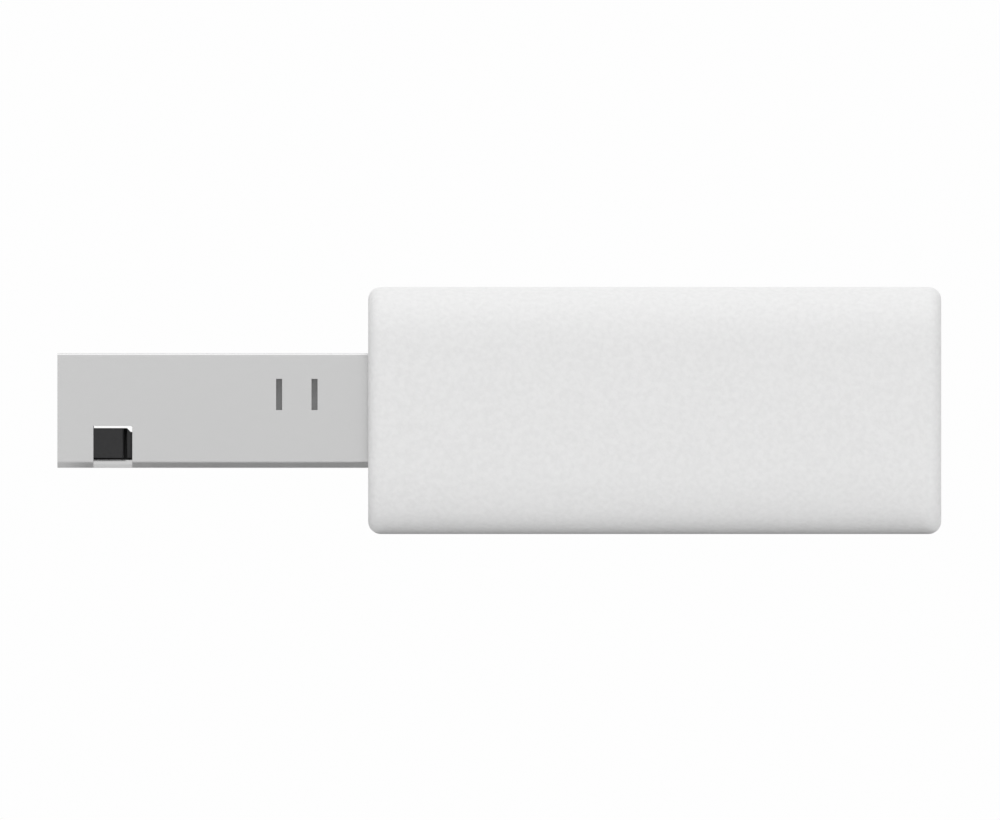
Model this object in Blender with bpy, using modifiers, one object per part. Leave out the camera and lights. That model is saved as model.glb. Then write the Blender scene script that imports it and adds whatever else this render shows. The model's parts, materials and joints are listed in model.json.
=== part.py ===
"""USB stick programmer for microcontrollers, modelled the way it comes apart on the bench.

A one-piece moulded sleeve closes round the USB plug at its front. The plug, the circuit board and
the ten-way target socket are soldered together and slide in from the back, where a snap-in rear
cover holds them. A mode button and two light pipes reach the top face.

Lengths are in metres. The stick lies flat on Z = 0 along X, its plug towards -X, with the origin
under the middle of its length and width.
"""

import math

import bmesh
import bpy
from mathutils import Matrix, Vector

MM = 0.001
X, Y, Z = 0, 1, 2

# ---- Casing -------------------------------------------------------------------------------
CASE_LENGTH = 22.5 * MM
CASE_WIDTH = 18.0 * MM
CASE_HEIGHT = 9.7 * MM
CASE_WALL = 1.2 * MM
CASE_CORNER = 2.4 * MM  # the roundings that run the length of the sleeve
CASE_RIM = 0.5 * MM  # the roundings round its two ends
RIB_REACH = 1.05 * MM  # of the board guides, from the side walls
RIB_HALF_HEIGHT = 1.4 * MM
POCKET_BACK = 3.3 * MM  # of the rear cover's snap pockets, from the sleeve's back rim
POCKET_LENGTH = 1.6 * MM
POCKET_DEPTH = 0.4 * MM
POCKET_HALF_HEIGHT = 1.9 * MM
COVER_THICKNESS = 1.2 * MM
ARM_HALF_HEIGHT = 1.6 * MM

# ---- Button and lights --------------------------------------------------------------------
BUTTON_X = 4.3 * MM
BUTTON_RADIUS = 1.5 * MM
BUTTON_SUNK = 0.25 * MM
FLANGE_RADIUS = 2.1 * MM
FLANGE_THICKNESS = 0.45 * MM
STEM_RADIUS = 0.9 * MM
DISH_RADIUS = 3.1 * MM
DISH_DEPTH = 0.35 * MM
LIGHT_Y = 5.4 * MM  # each side of the button
LIGHT_HEAD = 0.45 * MM
LIGHT_HEAD_RADIUS = 1.1 * MM
LIGHT_SHAFT_RADIUS = 0.75 * MM

# ---- USB plug, measured from its tip and from its middle ------------------------------------
PLUG_REACH = 12.2 * MM  # out of the sleeve
PLUG_WIDTH = 12.0 * MM
PLUG_HEIGHT = 4.5 * MM
PLUG_SHEET = 0.3 * MM
SHELL_LENGTH = 14.9 * MM
SHELL_CORNER = 0.4 * MM
LOCK_START = 5.16 * MM  # windows in the roof and floor
LOCK_LENGTH = 2.3 * MM
LOCK_WIDTH = 2.5 * MM
LOCK_Y = 2.75 * MM
LATCH_START = 1.38 * MM  # windows in the side walls
LATCH_END = 2.94 * MM
LATCH_TOP = -0.55 * MM
LATCH_CORNER = 0.22 * MM
SLIT_STARTS = (8.59 * MM, 9.98 * MM)
SLIT_WIDTH = 0.23 * MM
SLIT_BOTTOM = 0.02 * MM
SLIT_TOP = 1.24 * MM
LEG_BACK = 18.2 * MM
LEG_HALF_HEIGHT = 1.25 * MM
TONGUE_FRONT = 0.45 * MM
TONGUE_TOP = -0.05 * MM
RELIEF_FLOOR = -0.64 * MM
BLOCK_FRONT = 8.65 * MM
BLOCK_BACK = 15.7 * MM
STRIP_WIDTH = 1.0 * MM
STRIP_GAUGE = 0.2 * MM
STRIP_START = 1.15 * MM
STRIP_HOOK = 0.3 * MM  # down and back at its tip
RISER_START = 9.45 * MM  # where it climbs inside the block
RISER_END = 10.65 * MM
STRIP_BACK = 17.8 * MM
DATA_STRIP_SETBACK = 1.0 * MM
STRIPS = {"ground": 3.5 * MM, "data_plus": 1.0 * MM, "data_minus": -1.0 * MM, "power": -3.5 * MM}

# ---- Circuit board ------------------------------------------------------------------------
BOARD_WIDTH = 14.4 * MM
BOARD_THICKNESS = 1.6 * MM
BOARD_FRONT_GAP = 2.45 * MM  # from the inside of the sleeve's front wall
BOARD_CORNER = 0.5 * MM

# ---- Switch on the board, heights from its foot -------------------------------------------
SWITCH_LENGTH = 3.5 * MM
SWITCH_WIDTH = 3.0 * MM
SWITCH_BASE = 1.0 * MM
SWITCH_WELL = 0.3 * MM  # the floor of its well
SWITCH_WELL_RADIUS = 1.25 * MM
SWITCH_HEIGHT = 1.92 * MM  # to the top of its plunger
DOME_RADIUS = 1.15 * MM
DOME_RISE = 0.26 * MM
DOME_GAUGE = 0.06 * MM
PLUNGER_FOOT = 0.71 * MM
PLUNGER_FLANGE = 0.22 * MM
PLUNGER_RADIUS = 0.7 * MM

# ---- Target socket ------------------------------------------------------------------------
SOCKET_LENGTH = 7.0 * MM
SOCKET_WIDTH = 12.8 * MM
SOCKET_HEIGHT = 5.0 * MM
SOCKET_PITCH = 2.54 * MM
SOCKET_WAYS = 5  # in each of its two rows
SOCKET_RECESS = 0.2 * MM  # how far it sits inside the sleeve's back rim
FUNNEL_MOUTH = 1.5 * MM
FUNNEL_DEPTH = 0.4 * MM
THROAT = 0.8 * MM
THROAT_DEPTH = 0.95 * MM
CHAMBER_WIDTH = 1.7 * MM
CHAMBER_HEIGHT = 1.4 * MM

# ---- Clearances ---------------------------------------------------------------------------
REST = 0.03 * MM  # solder under a foot, or two pieces that rest on each other
FIT = 0.04 * MM  # pieces pressed into each other
RUNNING = 0.1 * MM  # mouldings that slide past each other
SPILL = 1.0 * MM  # how far a cutter runs past what it cuts
TOUCH = 1e-7  # two coordinates this close are the same

# ---- Places that follow -------------------------------------------------------------------
TIP_X = -(PLUG_REACH + CASE_LENGTH) / 2
CASE_FRONT = TIP_X + PLUG_REACH
CASE_BACK = CASE_FRONT + CASE_LENGTH
MID_Z = CASE_HEIGHT / 2
INSIDE_Y = CASE_WIDTH / 2 - CASE_WALL
BOARD_FRONT = CASE_FRONT + CASE_WALL + BOARD_FRONT_GAP
SOCKET_BACK = CASE_BACK - SOCKET_RECESS
BOARD_BACK = SOCKET_BACK - SOCKET_LENGTH - RUNNING
BOARD_FACE = BOARD_THICKNESS / 2  # its upper face, from its middle
FOOT = BOARD_FACE + REST  # what is soldered on the board stands at this height
SHELL_Y = PLUG_WIDTH / 2
SHELL_Z = PLUG_HEIGHT / 2
BORE_Y = SHELL_Y - PLUG_SHEET
BORE_Z = SHELL_Z - PLUG_SHEET


# ---- Scene, materials and objects ---------------------------------------------------------
def clear_scene():
    for old in list(bpy.data.objects):
        bpy.data.objects.remove(old)


def collection(name):
    made = bpy.data.collections.new(name)
    bpy.context.scene.collection.children.link(made)
    return made


def finish(name, colour, roughness, metallic=0.0):
    made = bpy.data.materials.new(name)
    made.use_nodes = True
    shader = made.node_tree.nodes["Principled BSDF"]
    shader.inputs["Base Color"].default_value = (*colour, 1.0)
    shader.inputs["Roughness"].default_value = roughness
    shader.inputs["Metallic"].default_value = metallic
    return made


def frame(name, location):
    """An empty that carries the pieces of one sub-assembly."""
    empty = bpy.data.objects.new(name, None)
    empty.location = location
    product.objects.link(empty)
    return empty


def placed(name, mesh, group, parent=None, location=(0, 0, 0), turn=(0, 0, 0)):
    piece = bpy.data.objects.new(name, mesh)
    piece.parent = parent
    piece.location = location
    piece.rotation_euler = turn
    group.objects.link(piece)
    return piece


def mesh_of(name, shape):
    mesh = bpy.data.meshes.new(name)
    shape.to_mesh(mesh)
    shape.free()
    return mesh


def shade(mesh):
    """Smooth over the roundings, sharp at the corners."""
    mesh.shade_smooth()
    mesh.set_sharp_from_angle(angle=math.radians(35))


def solid(name, shape, material, parent=None, location=(0, 0, 0), turn=(0, 0, 0)):
    """A named piece of the product."""
    mesh = mesh_of(name, shape)
    shade(mesh)
    mesh.materials.append(material)
    return placed(name, mesh, product, parent, location, turn)


def tool(name, shape, parent=None, location=(0, 0, 0), turn=(0, 0, 0)):
    """A helper that a Boolean cuts with or joins on. It is never a piece itself."""
    made = placed(name, mesh_of(name, shape), cutters, parent, location, turn)
    made.hide_render = True
    made.display_type = "WIRE"
    return made


def combine(piece, operation, tools):
    for other in tools:
        step = piece.modifiers.new(other.name, "BOOLEAN")
        step.operation = operation
        step.object = other


def cut(piece, *tools):
    combine(piece, "DIFFERENCE", tools)


def join(piece, *tools):
    combine(piece, "UNION", tools)


def pressed(name, path, across, gauge, material, parent=None, location=(0, 0, 0), turn=(0, 0, 0)):
    """A piece of the product that is pressed from strip."""
    piece = solid(name, strip(path, across), material, parent, location, turn)
    thicken(piece, gauge)
    shade(freeze(piece))
    return piece


def thicken(piece, gauge):
    """Gives sheet its gauge, half on each side of the drawn surface."""
    step = piece.modifiers.new("gauge", "SOLIDIFY")
    step.thickness = gauge
    step.offset = 0.0
    step.use_even_offset = True


def turn_round(piece, steps):
    """Turns a profile drawn at +X, top to bottom, about the object's Z axis."""
    step = piece.modifiers.new("turned", "SCREW")
    step.steps = steps
    step.render_steps = steps
    step.use_merge_vertices = True
    step.merge_threshold = 1e-6


def freeze(piece):
    """Applies the modifiers, and gives the finished mesh."""
    bpy.context.view_layer.update()
    graph = bpy.context.evaluated_depsgraph_get()
    mesh = bpy.data.meshes.new_from_object(piece.evaluated_get(graph))
    piece.modifiers.clear()
    piece.data = mesh
    return mesh


def turned(name, points, steps, material, parent=None, location=(0, 0, 0), gauge=None):
    """A turned piece of the product: solid, or of sheet if a gauge is given."""
    piece = solid(name, profile(points), material, parent, location)
    turn_round(piece, steps)
    if gauge:
        thicken(piece, gauge)
    shade(freeze(piece))


# ---- Shapes -------------------------------------------------------------------------------
def box(low, high):
    shape = bmesh.new()
    bmesh.ops.create_cube(shape, size=1.0)
    low, high = Vector(low), Vector(high)
    fitted = Matrix.LocRotScale((low + high) / 2, None, high - low)
    bmesh.ops.transform(shape, matrix=fitted, verts=shape.verts)
    return shape


def block(length, width, bottom, top):
    """A box on the Z axis."""
    return box((-length / 2, -width / 2, bottom), (length / 2, width / 2, top))


def side_box(side, x_range, y_range, z_range):
    """A box at +Y for side 1, and its mirror image at -Y for side -1."""
    near, far = sorted((side * y_range[0], side * y_range[1]))
    return box((x_range[0], near, z_range[0]), (x_range[1], far, z_range[1]))


def bevelled(shape, chosen, width, segments=1):
    """Rounds, or with one segment chamfers, the edges that chosen() picks."""
    edges = [edge for edge in shape.edges if chosen(edge)]
    bmesh.ops.bevel(
        shape, geom=edges, offset=width, segments=segments, profile=0.5, affect="EDGES"
    )
    return shape


def along(axis):
    def chosen(edge):
        span = edge.verts[1].co - edge.verts[0].co
        return abs(abs(span[axis]) - span.length) < TOUCH

    return chosen


def at(axis, *places):
    def chosen(edge):
        return any(
            all(abs(vert.co[axis] - place) < TOUCH for vert in edge.verts) for place in places
        )

    return chosen


def both(first, second):
    return lambda edge: first(edge) and second(edge)


def bar(low, high, corner, steps, rim=0.0, rim_steps=1):
    """A box rounded along its four X edges, and then, if asked, round its two ends."""
    shape = bevelled(box(low, high), along(X), corner, steps)
    if rim:
        bevelled(shape, at(X, low[X], high[X]), rim, rim_steps)
    return shape


def rod(radius, bottom, top, sides):
    shape = bmesh.new()
    bmesh.ops.create_cone(
        shape, cap_ends=True, segments=sides, radius1=radius, radius2=radius, depth=top - bottom
    )
    bmesh.ops.translate(shape, vec=(0, 0, (bottom + top) / 2), verts=shape.verts)
    return shape


def profile(points):
    """A line of (radius, height) points in the XZ plane, ready to be turned."""
    shape = bmesh.new()
    verts = [shape.verts.new((radius, 0, height)) for radius, height in points]
    for pair in zip(verts, verts[1:]):
        shape.edges.new(pair)
    return shape


def strip(path, across):
    """A surface swept from a path, centred on it, in the direction and by the length of across."""
    shape = bmesh.new()
    across = Vector(across)
    verts = [shape.verts.new(Vector(point) - across / 2) for point in path]
    edges = [shape.edges.new(pair) for pair in zip(verts, verts[1:])]
    swept = bmesh.ops.extrude_edge_only(shape, edges=edges)["geom"]
    far = [item for item in swept if isinstance(item, bmesh.types.BMVert)]
    bmesh.ops.translate(shape, vec=across, verts=far)
    return shape


def bent(corners, radius, steps=2):
    """The path through these corners, with each inner corner rounded."""
    corners = [Vector(corner) for corner in corners]
    path = [corners[0]]
    for before, corner, after in zip(corners, corners[1:], corners[2:]):
        start = corner + (before - corner).normalized() * radius
        end = corner + (after - corner).normalized() * radius
        for step in range(steps + 1):
            share = step / steps
            path.append(start * (1 - share) ** 2 + corner * 2 * share * (1 - share) + end * share**2)
    return path + [corners[-1]]


def merged(shapes):
    """Several shapes that don't touch, as one bmesh."""
    whole = bmesh.new()
    for shape in shapes:
        mesh = mesh_of("group", shape)
        whole.from_mesh(mesh)
        bpy.data.meshes.remove(mesh)
    return whole


def sheet_tool(name, strips, gauge, parent=None, location=(0, 0, 0)):
    """Strips of sheet with their gauge applied, as one helper."""
    made = tool(name, merged(strips), parent, location)
    thicken(made, gauge)
    freeze(made)
    return made


# ---- Casing pieces ------------------------------------------------------------------------
def make_sleeve():
    """The white sleeve: one moulding, closed at the front and open at the back."""
    half = CASE_WIDTH / 2
    outside = bar(
        (CASE_FRONT, -half, 0), (CASE_BACK, half, CASE_HEIGHT), CASE_CORNER, 7, CASE_RIM, 3
    )
    sleeve = solid("casing_sleeve", outside, white_plastic)
    cavity = bar(
        (CASE_FRONT + CASE_WALL, -INSIDE_Y, CASE_WALL),
        (CASE_BACK + SPILL, INSIDE_Y, CASE_HEIGHT - CASE_WALL),
        CASE_CORNER - CASE_WALL,
        4,
    )
    cut(sleeve, tool("sleeve_cavity", cavity))
    add_board_guides(sleeve)
    cut_plug_aperture(sleeve)
    cut_snap_pockets(sleeve)
    cut_button_seat(sleeve)
    cut_light_holes(sleeve)


def add_board_guides(sleeve):
    """A grooved rib on each side wall. The board slides in until it meets the ribs' front stops."""
    root = 0.1 * MM  # how deep a rib is sunk in the walls
    x_range = (CASE_FRONT + CASE_WALL - root, BOARD_BACK - 1.0 * MM)
    z_range = (MID_Z - RIB_HALF_HEIGHT, MID_Z + RIB_HALF_HEIGHT)
    for word, side in SIDES:
        rib = side_box(side, x_range, (INSIDE_Y - RIB_REACH, INSIDE_Y + root), z_range)
        join(sleeve, tool("guide_rib_" + word, rib))
    groove_y = BOARD_WIDTH / 2 + RUNNING
    groove_z = BOARD_FACE + RUNNING
    groove = box(
        (BOARD_FRONT - RUNNING, -groove_y, MID_Z - groove_z),
        (BOARD_BACK + SPILL, groove_y, MID_Z + groove_z),
    )
    cut(sleeve, tool("board_groove", groove))


def cut_plug_aperture(sleeve):
    half_width = SHELL_Y + RUNNING
    half_height = SHELL_Z + RUNNING
    aperture = bar(
        (CASE_FRONT - SPILL, -half_width, MID_Z - half_height),
        (CASE_FRONT + CASE_WALL + SPILL, half_width, MID_Z + half_height),
        SHELL_CORNER + RUNNING,
        3,
    )
    cut(sleeve, tool("plug_aperture", aperture))


def cut_snap_pockets(sleeve):
    """A blind pocket in each side wall, for a barb of the rear cover."""
    back = CASE_BACK - POCKET_BACK
    x_range = (back - POCKET_LENGTH, back)
    y_range = (INSIDE_Y - SPILL, INSIDE_Y + POCKET_DEPTH)
    z_range = (MID_Z - POCKET_HALF_HEIGHT, MID_Z + POCKET_HALF_HEIGHT)
    for word, side in SIDES:
        cut(sleeve, tool("snap_pocket_" + word, side_box(side, x_range, y_range, z_range)))


def cut_button_seat(sleeve):
    """A shallow finger dish in the top face, with the button's hole in its middle."""
    sphere = (DISH_RADIUS**2 + DISH_DEPTH**2) / (2 * DISH_DEPTH)
    rings = 4
    overrun = 1.2  # the curve runs on past the top face
    radii = [DISH_RADIUS * overrun * ring / rings for ring in range(rings, -1, -1)]
    curve = [(radius, sphere - math.sqrt(sphere**2 - radius**2) - DISH_DEPTH) for radius in radii]
    place = (BUTTON_X, 0, CASE_HEIGHT)
    dish = tool("finger_dish", profile([(0, SPILL), (radii[0], SPILL)] + curve), location=place)
    turn_round(dish, 36)
    hole = rod(BUTTON_RADIUS + RUNNING, -2 * CASE_WALL, SPILL, 32)
    cut(sleeve, dish, tool("button_hole", hole, location=place))


def cut_light_holes(sleeve):
    for name, side in LIGHTS:
        place = (BUTTON_X, side * LIGHT_Y, CASE_HEIGHT)
        bore = rod(LIGHT_SHAFT_RADIUS + FIT, -2 * CASE_WALL, SPILL, 20)
        seat = rod(LIGHT_HEAD_RADIUS + FIT, -LIGHT_HEAD - FIT, SPILL, 24)
        cut(
            sleeve,
            tool(name + "_light_bore", bore, location=place),
            tool(name + "_light_seat", seat, location=place),
        )


def make_rear_cover():
    """The plate that closes the sleeve's back. Its two snap arms also hold the board."""
    back = CASE_BACK - RUNNING / 2
    front = back - COVER_THICKNESS
    half_width = INSIDE_Y - RUNNING
    half_height = CASE_HEIGHT / 2 - CASE_WALL - RUNNING
    plate = bar(
        (front, -half_width, MID_Z - half_height),
        (back, half_width, MID_Z + half_height),
        CASE_CORNER - CASE_WALL - RUNNING,
        4,
    )
    cover = solid("rear_cover", plate, white_plastic)
    window = box(
        (front - SPILL, -SOCKET_WIDTH / 2 - RUNNING, MID_Z - SOCKET_HEIGHT / 2 - RUNNING),
        (back + SPILL, SOCKET_WIDTH / 2 + RUNNING, MID_Z + SOCKET_HEIGHT / 2 + RUNNING),
    )
    cut(cover, tool("socket_window", window))
    for word, side in SIDES:
        add_snap_arm(cover, word, side, front)


def add_snap_arm(cover, word, side, plate_front):
    """A flat spring arm, and on it a barb that is square at the back and ramped at the front."""
    root = 0.3 * MM  # how deep the arm is sunk in the plate
    inner = SOCKET_WIDTH / 2 + 2 * RUNNING
    outer = INSIDE_Y - 3.5 * RUNNING
    z_range = (MID_Z - ARM_HALF_HEIGHT, MID_Z + ARM_HALF_HEIGHT)
    arm = side_box(side, (BOARD_BACK + RUNNING, plate_front + root), (inner, outer), z_range)
    crest = INSIDE_Y + POCKET_DEPTH - 1.5 * RUNNING
    ramp = crest - outer
    catch = CASE_BACK - POCKET_BACK - RUNNING
    sunk = 0.2 * MM
    x_range = (catch - ramp - 2 * RUNNING, catch)
    barb = side_box(side, x_range, (outer - sunk, crest), z_range)
    bevelled(barb, both(at(X, x_range[0]), at(Y, side * crest)), ramp)
    join(cover, tool("snap_arm_" + word, arm), tool("snap_barb_" + word, barb))


def make_mode_button():
    """The white cap. Its flange keeps it in the sleeve and its stem rests on the switch."""
    axis = frame("mode_button_axis", (BUTTON_X, 0, CASE_HEIGHT))
    crown = 0.15 * MM  # rounding of the cap's top edge
    flange_top = -CASE_WALL - RUNNING
    flange_foot = flange_top - FLANGE_THICKNESS
    stem_foot = MID_Z + FOOT + SWITCH_HEIGHT + REST - CASE_HEIGHT
    outline = [
        (0, -BUTTON_SUNK),
        (BUTTON_RADIUS - crown, -BUTTON_SUNK),
        (BUTTON_RADIUS - 0.3 * crown, -BUTTON_SUNK - 0.3 * crown),
        (BUTTON_RADIUS, -BUTTON_SUNK - crown),
        (BUTTON_RADIUS, flange_top),
        (FLANGE_RADIUS, flange_top),
        (FLANGE_RADIUS, flange_foot),
        (STEM_RADIUS, flange_foot),
        (STEM_RADIUS, stem_foot),
        (0, stem_foot),
    ]
    turned("mode_button", outline, 28, white_plastic, axis)


def make_light_pipes():
    """Clear rods pressed in from the top. Each ends just above its light."""
    shaft_foot = MID_Z + FOOT + LIGHT_CHIP[Z] + RUNNING - CASE_HEIGHT
    outline = [
        (0, -REST),
        (LIGHT_HEAD_RADIUS, -REST),
        (LIGHT_HEAD_RADIUS, -LIGHT_HEAD),
        (LIGHT_SHAFT_RADIUS, -LIGHT_HEAD),
        (LIGHT_SHAFT_RADIUS, shaft_foot),
        (0, shaft_foot),
    ]
    for name, side in LIGHTS:
        place = (BUTTON_X, side * LIGHT_Y, CASE_HEIGHT)
        turned("light_pipe_" + name, outline, 24, clear_plastic, None, place)


# ---- USB plug, in a frame at the middle of its tip ----------------------------------------
def make_plug():
    plug = frame("usb_plug_frame", (TIP_X, 0, MID_Z))
    make_shell(plug)
    make_insulator(plug)
    for name, place in STRIPS.items():
        across = (0, STRIP_WIDTH, 0)
        pressed("usb_contact_" + name, strip_path(name), across, STRIP_GAUGE, gold, plug, (0, place, 0))


def make_shell(plug):
    """The folded steel shell: a rectangular tube with its seam underneath."""
    outside = bar((0, -SHELL_Y, -SHELL_Z), (SHELL_LENGTH, SHELL_Y, SHELL_Z), SHELL_CORNER, 4)
    shell = solid("usb_shell", outside, steel, plug)
    bore = bar(
        (-SPILL, -BORE_Y, -BORE_Z),
        (SHELL_LENGTH + SPILL, BORE_Y, BORE_Z),
        SHELL_CORNER - PLUG_SHEET,
        2,
    )
    cut(shell, tool("shell_bore", bore, plug))
    for word, side in SIDES:
        cut_lock_windows(shell, word, side, plug)
        cut_side_wall(shell, word, side, plug)
        add_solder_leg(shell, word, side, plug)
    cut_seam(shell, plug)


def cut_lock_windows(shell, word, side, plug):
    """A square window through the roof and the floor, for the port's springs."""
    window = side_box(
        side,
        (LOCK_START, LOCK_START + LOCK_LENGTH),
        (LOCK_Y - LOCK_WIDTH / 2, LOCK_Y + LOCK_WIDTH / 2),
        (-SHELL_Z - SPILL, SHELL_Z + SPILL),
    )
    cut(shell, tool("lock_windows_" + word, window, plug))


def cut_side_wall(shell, word, side, plug):
    """The latch window, which takes the lower bend with it, and the two retention slits."""
    y_range = (BORE_Y - RUNNING, SHELL_Y + SPILL)
    window = side_box(side, (LATCH_START, LATCH_END), y_range, (-SHELL_Z - SPILL, LATCH_TOP))
    bevelled(window, both(at(X, LATCH_END), at(Z, LATCH_TOP)), LATCH_CORNER)
    cut(shell, tool("latch_window_" + word, window, plug))
    for number, start in enumerate(SLIT_STARTS, 1):
        slit = side_box(side, (start, start + SLIT_WIDTH), y_range, (SLIT_BOTTOM, SLIT_TOP))
        cut(shell, tool(f"slit_{number}_{word}", slit, plug))


def add_solder_leg(shell, word, side, plug):
    """A leg at the back of the side wall, which stands in a slot of the board."""
    leg = side_box(
        side,
        (SHELL_LENGTH - PLUG_SHEET, LEG_BACK),
        (BORE_Y, SHELL_Y),
        (-LEG_HALF_HEIGHT, LEG_HALF_HEIGHT),
    )
    bevelled(leg, both(at(X, LEG_BACK), along(Y)), SHELL_CORNER)
    join(shell, tool("solder_leg_" + word, leg, plug))


def cut_seam(shell, plug):
    """The fine dovetailed line where the folded sheet meets itself, under the plug."""
    gap = 0.05 * MM
    neck, head, tail = 0.6 * MM, 0.95 * MM, 0.8 * MM
    middle = 0.62 * SHELL_LENGTH
    path = [
        (-SPILL, 0, 0),
        (middle - neck, 0, 0),
        (middle - head, tail, 0),
        (middle + head, tail, 0),
        (middle + neck, 0, 0),
        (SHELL_LENGTH + SPILL, 0, 0),
    ]
    sheet = strip(path, (0, 0, 3 * PLUG_SHEET))
    cut(shell, sheet_tool("seam", [sheet], gap, plug, (0, 0, -SHELL_Z + PLUG_SHEET / 2)))


def make_insulator(plug):
    """The black moulding: a tongue for the contacts, and behind it a block that fills the shell."""
    half_width = BORE_Y - FIT
    floor = -BORE_Z + FIT
    rear = box((BLOCK_FRONT, -half_width, floor), (BLOCK_BACK, half_width, -floor))
    insulator = solid("usb_insulator", rear, black_plastic, plug)
    tongue = box((TONGUE_FRONT, -half_width, floor), (BLOCK_FRONT + SPILL, half_width, TONGUE_TOP))
    bevelled(tongue, both(at(X, TONGUE_FRONT), along(Y)), 0.25 * MM)
    join(insulator, tool("tongue", tongue, plug))
    for word, side in SIDES:
        add_side_latch(insulator, word, side, floor, plug)
    cut_flex_relief(insulator, plug)
    for name, place in STRIPS.items():
        groove = strip(strip_path(name, FIT), (0, STRIP_WIDTH + 2 * FIT, 0))
        cut(
            insulator,
            sheet_tool("groove_" + name, [groove], STRIP_GAUGE + 2 * FIT, plug, (0, place, 0)),
        )


def add_side_latch(insulator, word, side, floor, plug):
    """The pad that stands in the side wall's window: ramped at the back, then a lower step."""
    ramp = 0.22 * MM
    face = SHELL_Y - FIT
    root = BORE_Y - 4 * FIT
    ramp_foot = LATCH_END - ramp
    pad = side_box(side, (LATCH_START + FIT, ramp_foot), (root, face), (floor, RELIEF_FLOOR))
    outer = at(Y, side * face)
    bevelled(pad, both(outer, at(X, ramp_foot)), ramp)
    bevelled(pad, both(outer, at(Z, floor)), 2 * FIT)
    step = side_box(
        side,
        (ramp_foot - FIT, LATCH_END - FIT),
        (root, face - ramp),
        (floor, RELIEF_FLOOR - 2 * FIT),
    )
    join(insulator, tool("latch_pad_" + word, pad, plug), tool("latch_step_" + word, step, plug))


def cut_flex_relief(insulator, plug):
    """A slot right across the tongue, level with the pads, under the tips of the contacts."""
    relief = box(
        (LATCH_START + FIT, -SHELL_Y, RELIEF_FLOOR), (LATCH_END - FIT, SHELL_Y, SHELL_Z)
    )
    cut(insulator, tool("flex_relief", relief, plug))


def strip_path(name, grown=0.0):
    """Side view of a contact: its hooked tip, the run on the tongue, the riser and the tail."""
    start = STRIP_START + (DATA_STRIP_SETBACK if name.startswith("data") else 0)
    run = TONGUE_TOP - STRIP_GAUGE / 4
    tail = FOOT + STRIP_GAUGE / 2
    corners = [
        (start - grown, 0, run - STRIP_HOOK - grown),
        (start + STRIP_HOOK, 0, run),
        (RISER_START, 0, run),
        (RISER_END, 0, tail),
        (STRIP_BACK + grown, 0, tail),
    ]
    return bent(corners, STRIP_GAUGE)


# ---- Circuit board and what is soldered on it ---------------------------------------------
def make_board():
    """The bare board, with a slot at each front corner for the shell's legs."""
    outline = box((BOARD_FRONT, -BOARD_WIDTH / 2, -BOARD_FACE), (BOARD_BACK, BOARD_WIDTH / 2, BOARD_FACE))
    board = solid(
        "circuit_board", bevelled(outline, along(Z), BOARD_CORNER, 3), green_board, None, (0, 0, MID_Z)
    )
    play = 2 * FIT
    for word, side in SIDES:
        slot = side_box(
            side,
            (BOARD_FRONT - SPILL, TIP_X + LEG_BACK + 2 * play),
            (BORE_Y - play, SHELL_Y + play),
            (-BOARD_FACE - SPILL, BOARD_FACE + SPILL),
        )
        cut(board, tool("leg_slot_" + word, slot, board))


def on_board(place, underneath):
    """Where a component stands, and how it is turned, on the board's top or underneath."""
    height = -FOOT if underneath else FOOT
    return {
        "location": (place[X] * MM, place[Y] * MM, MID_Z + height),
        "turn": (math.pi if underneath else 0, 0, 0),
    }


def two_ended_chip(name, size, material, place, underneath=False):
    """A resistor, capacitor, fuse or bead: a body between two slightly thicker end caps."""
    length, width, height = size
    lip = 0.02 * MM
    cap = 0.2 * length
    body = block(length - cap, width - 2 * lip, lip, height - lip)
    chip = solid(name, body, material, **on_board(place, underneath))
    ends = [
        box((end - cap / 2, -width / 2, 0), (end + cap / 2, width / 2, height))
        for end in ((cap - length) / 2, (length - cap) / 2)
    ]
    join(chip, tool(name + "_ends", merged(ends), **on_board(place, underneath)))


def leaded_chip(name, near_leads, far_leads, place, underneath=False):
    """A small chip with a row of gull-wing leads along each side."""
    body_length, body_width, body_height = 2.9 * MM, 1.6 * MM, 1.1 * MM
    standoff = 0.1 * MM
    draft = 0.1 * MM
    pitch, lead_width, lead_gauge = 0.95 * MM, 0.4 * MM, 0.15 * MM
    body = block(body_length, body_width, standoff, body_height)
    bevelled(body, at(Z, body_height), draft)
    chip = solid(name, body, black_plastic, **on_board(place, underneath))
    shoulder = 0.55 * body_height
    lead = [
        (body_width / 2 - draft, shoulder),
        (body_width / 2 + draft, shoulder),
        (body_width / 2 + 3 * draft, lead_gauge / 2),
        (body_width / 2 + 6 * draft, lead_gauge / 2),
    ]
    strips = [
        strip([(x * pitch, side * y, z) for y, z in lead], (lead_width, 0, 0))
        for side, row in ((-1, near_leads), (1, far_leads))
        for x in row
    ]
    leads = tool(name + "_leads", merged(strips), **on_board(place, underneath))
    thicken(leads, lead_gauge)
    freeze(leads)
    join(chip, leads)


def make_controller():
    """The square leadless controller under the board, with its solder lands along four sides."""
    size, height, lands = 5.0 * MM, 0.85 * MM, 7
    pitch, land_width, land_height = 0.6 * MM, 0.3 * MM, 0.2 * MM
    stand = 0.02 * MM  # of the lands beyond the body
    place = (4.2, 0)
    body = bevelled(block(size, size, 0, height), at(Z, height), 0.05 * MM)
    chip = solid("bridge_controller", body, black_plastic, **on_board(place, True))
    reach = size / 2 + stand
    for word, (along_x, along_y) in (("sides", (0, 1)), ("ends", (1, 0))):
        bars = []
        for number in range(lands):
            middle = (number - (lands - 1) / 2) * pitch
            half = (
                reach * along_y + land_width / 2 * along_x,
                reach * along_x + land_width / 2 * along_y,
            )
            centre = (middle * along_x, middle * along_y)
            bars.append(
                box(
                    (centre[X] - half[X], centre[Y] - half[Y], stand),
                    (centre[X] + half[X], centre[Y] + half[Y], stand + land_height),
                )
            )
        join(chip, tool("controller_lands_" + word, merged(bars), **on_board(place, True)))


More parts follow.
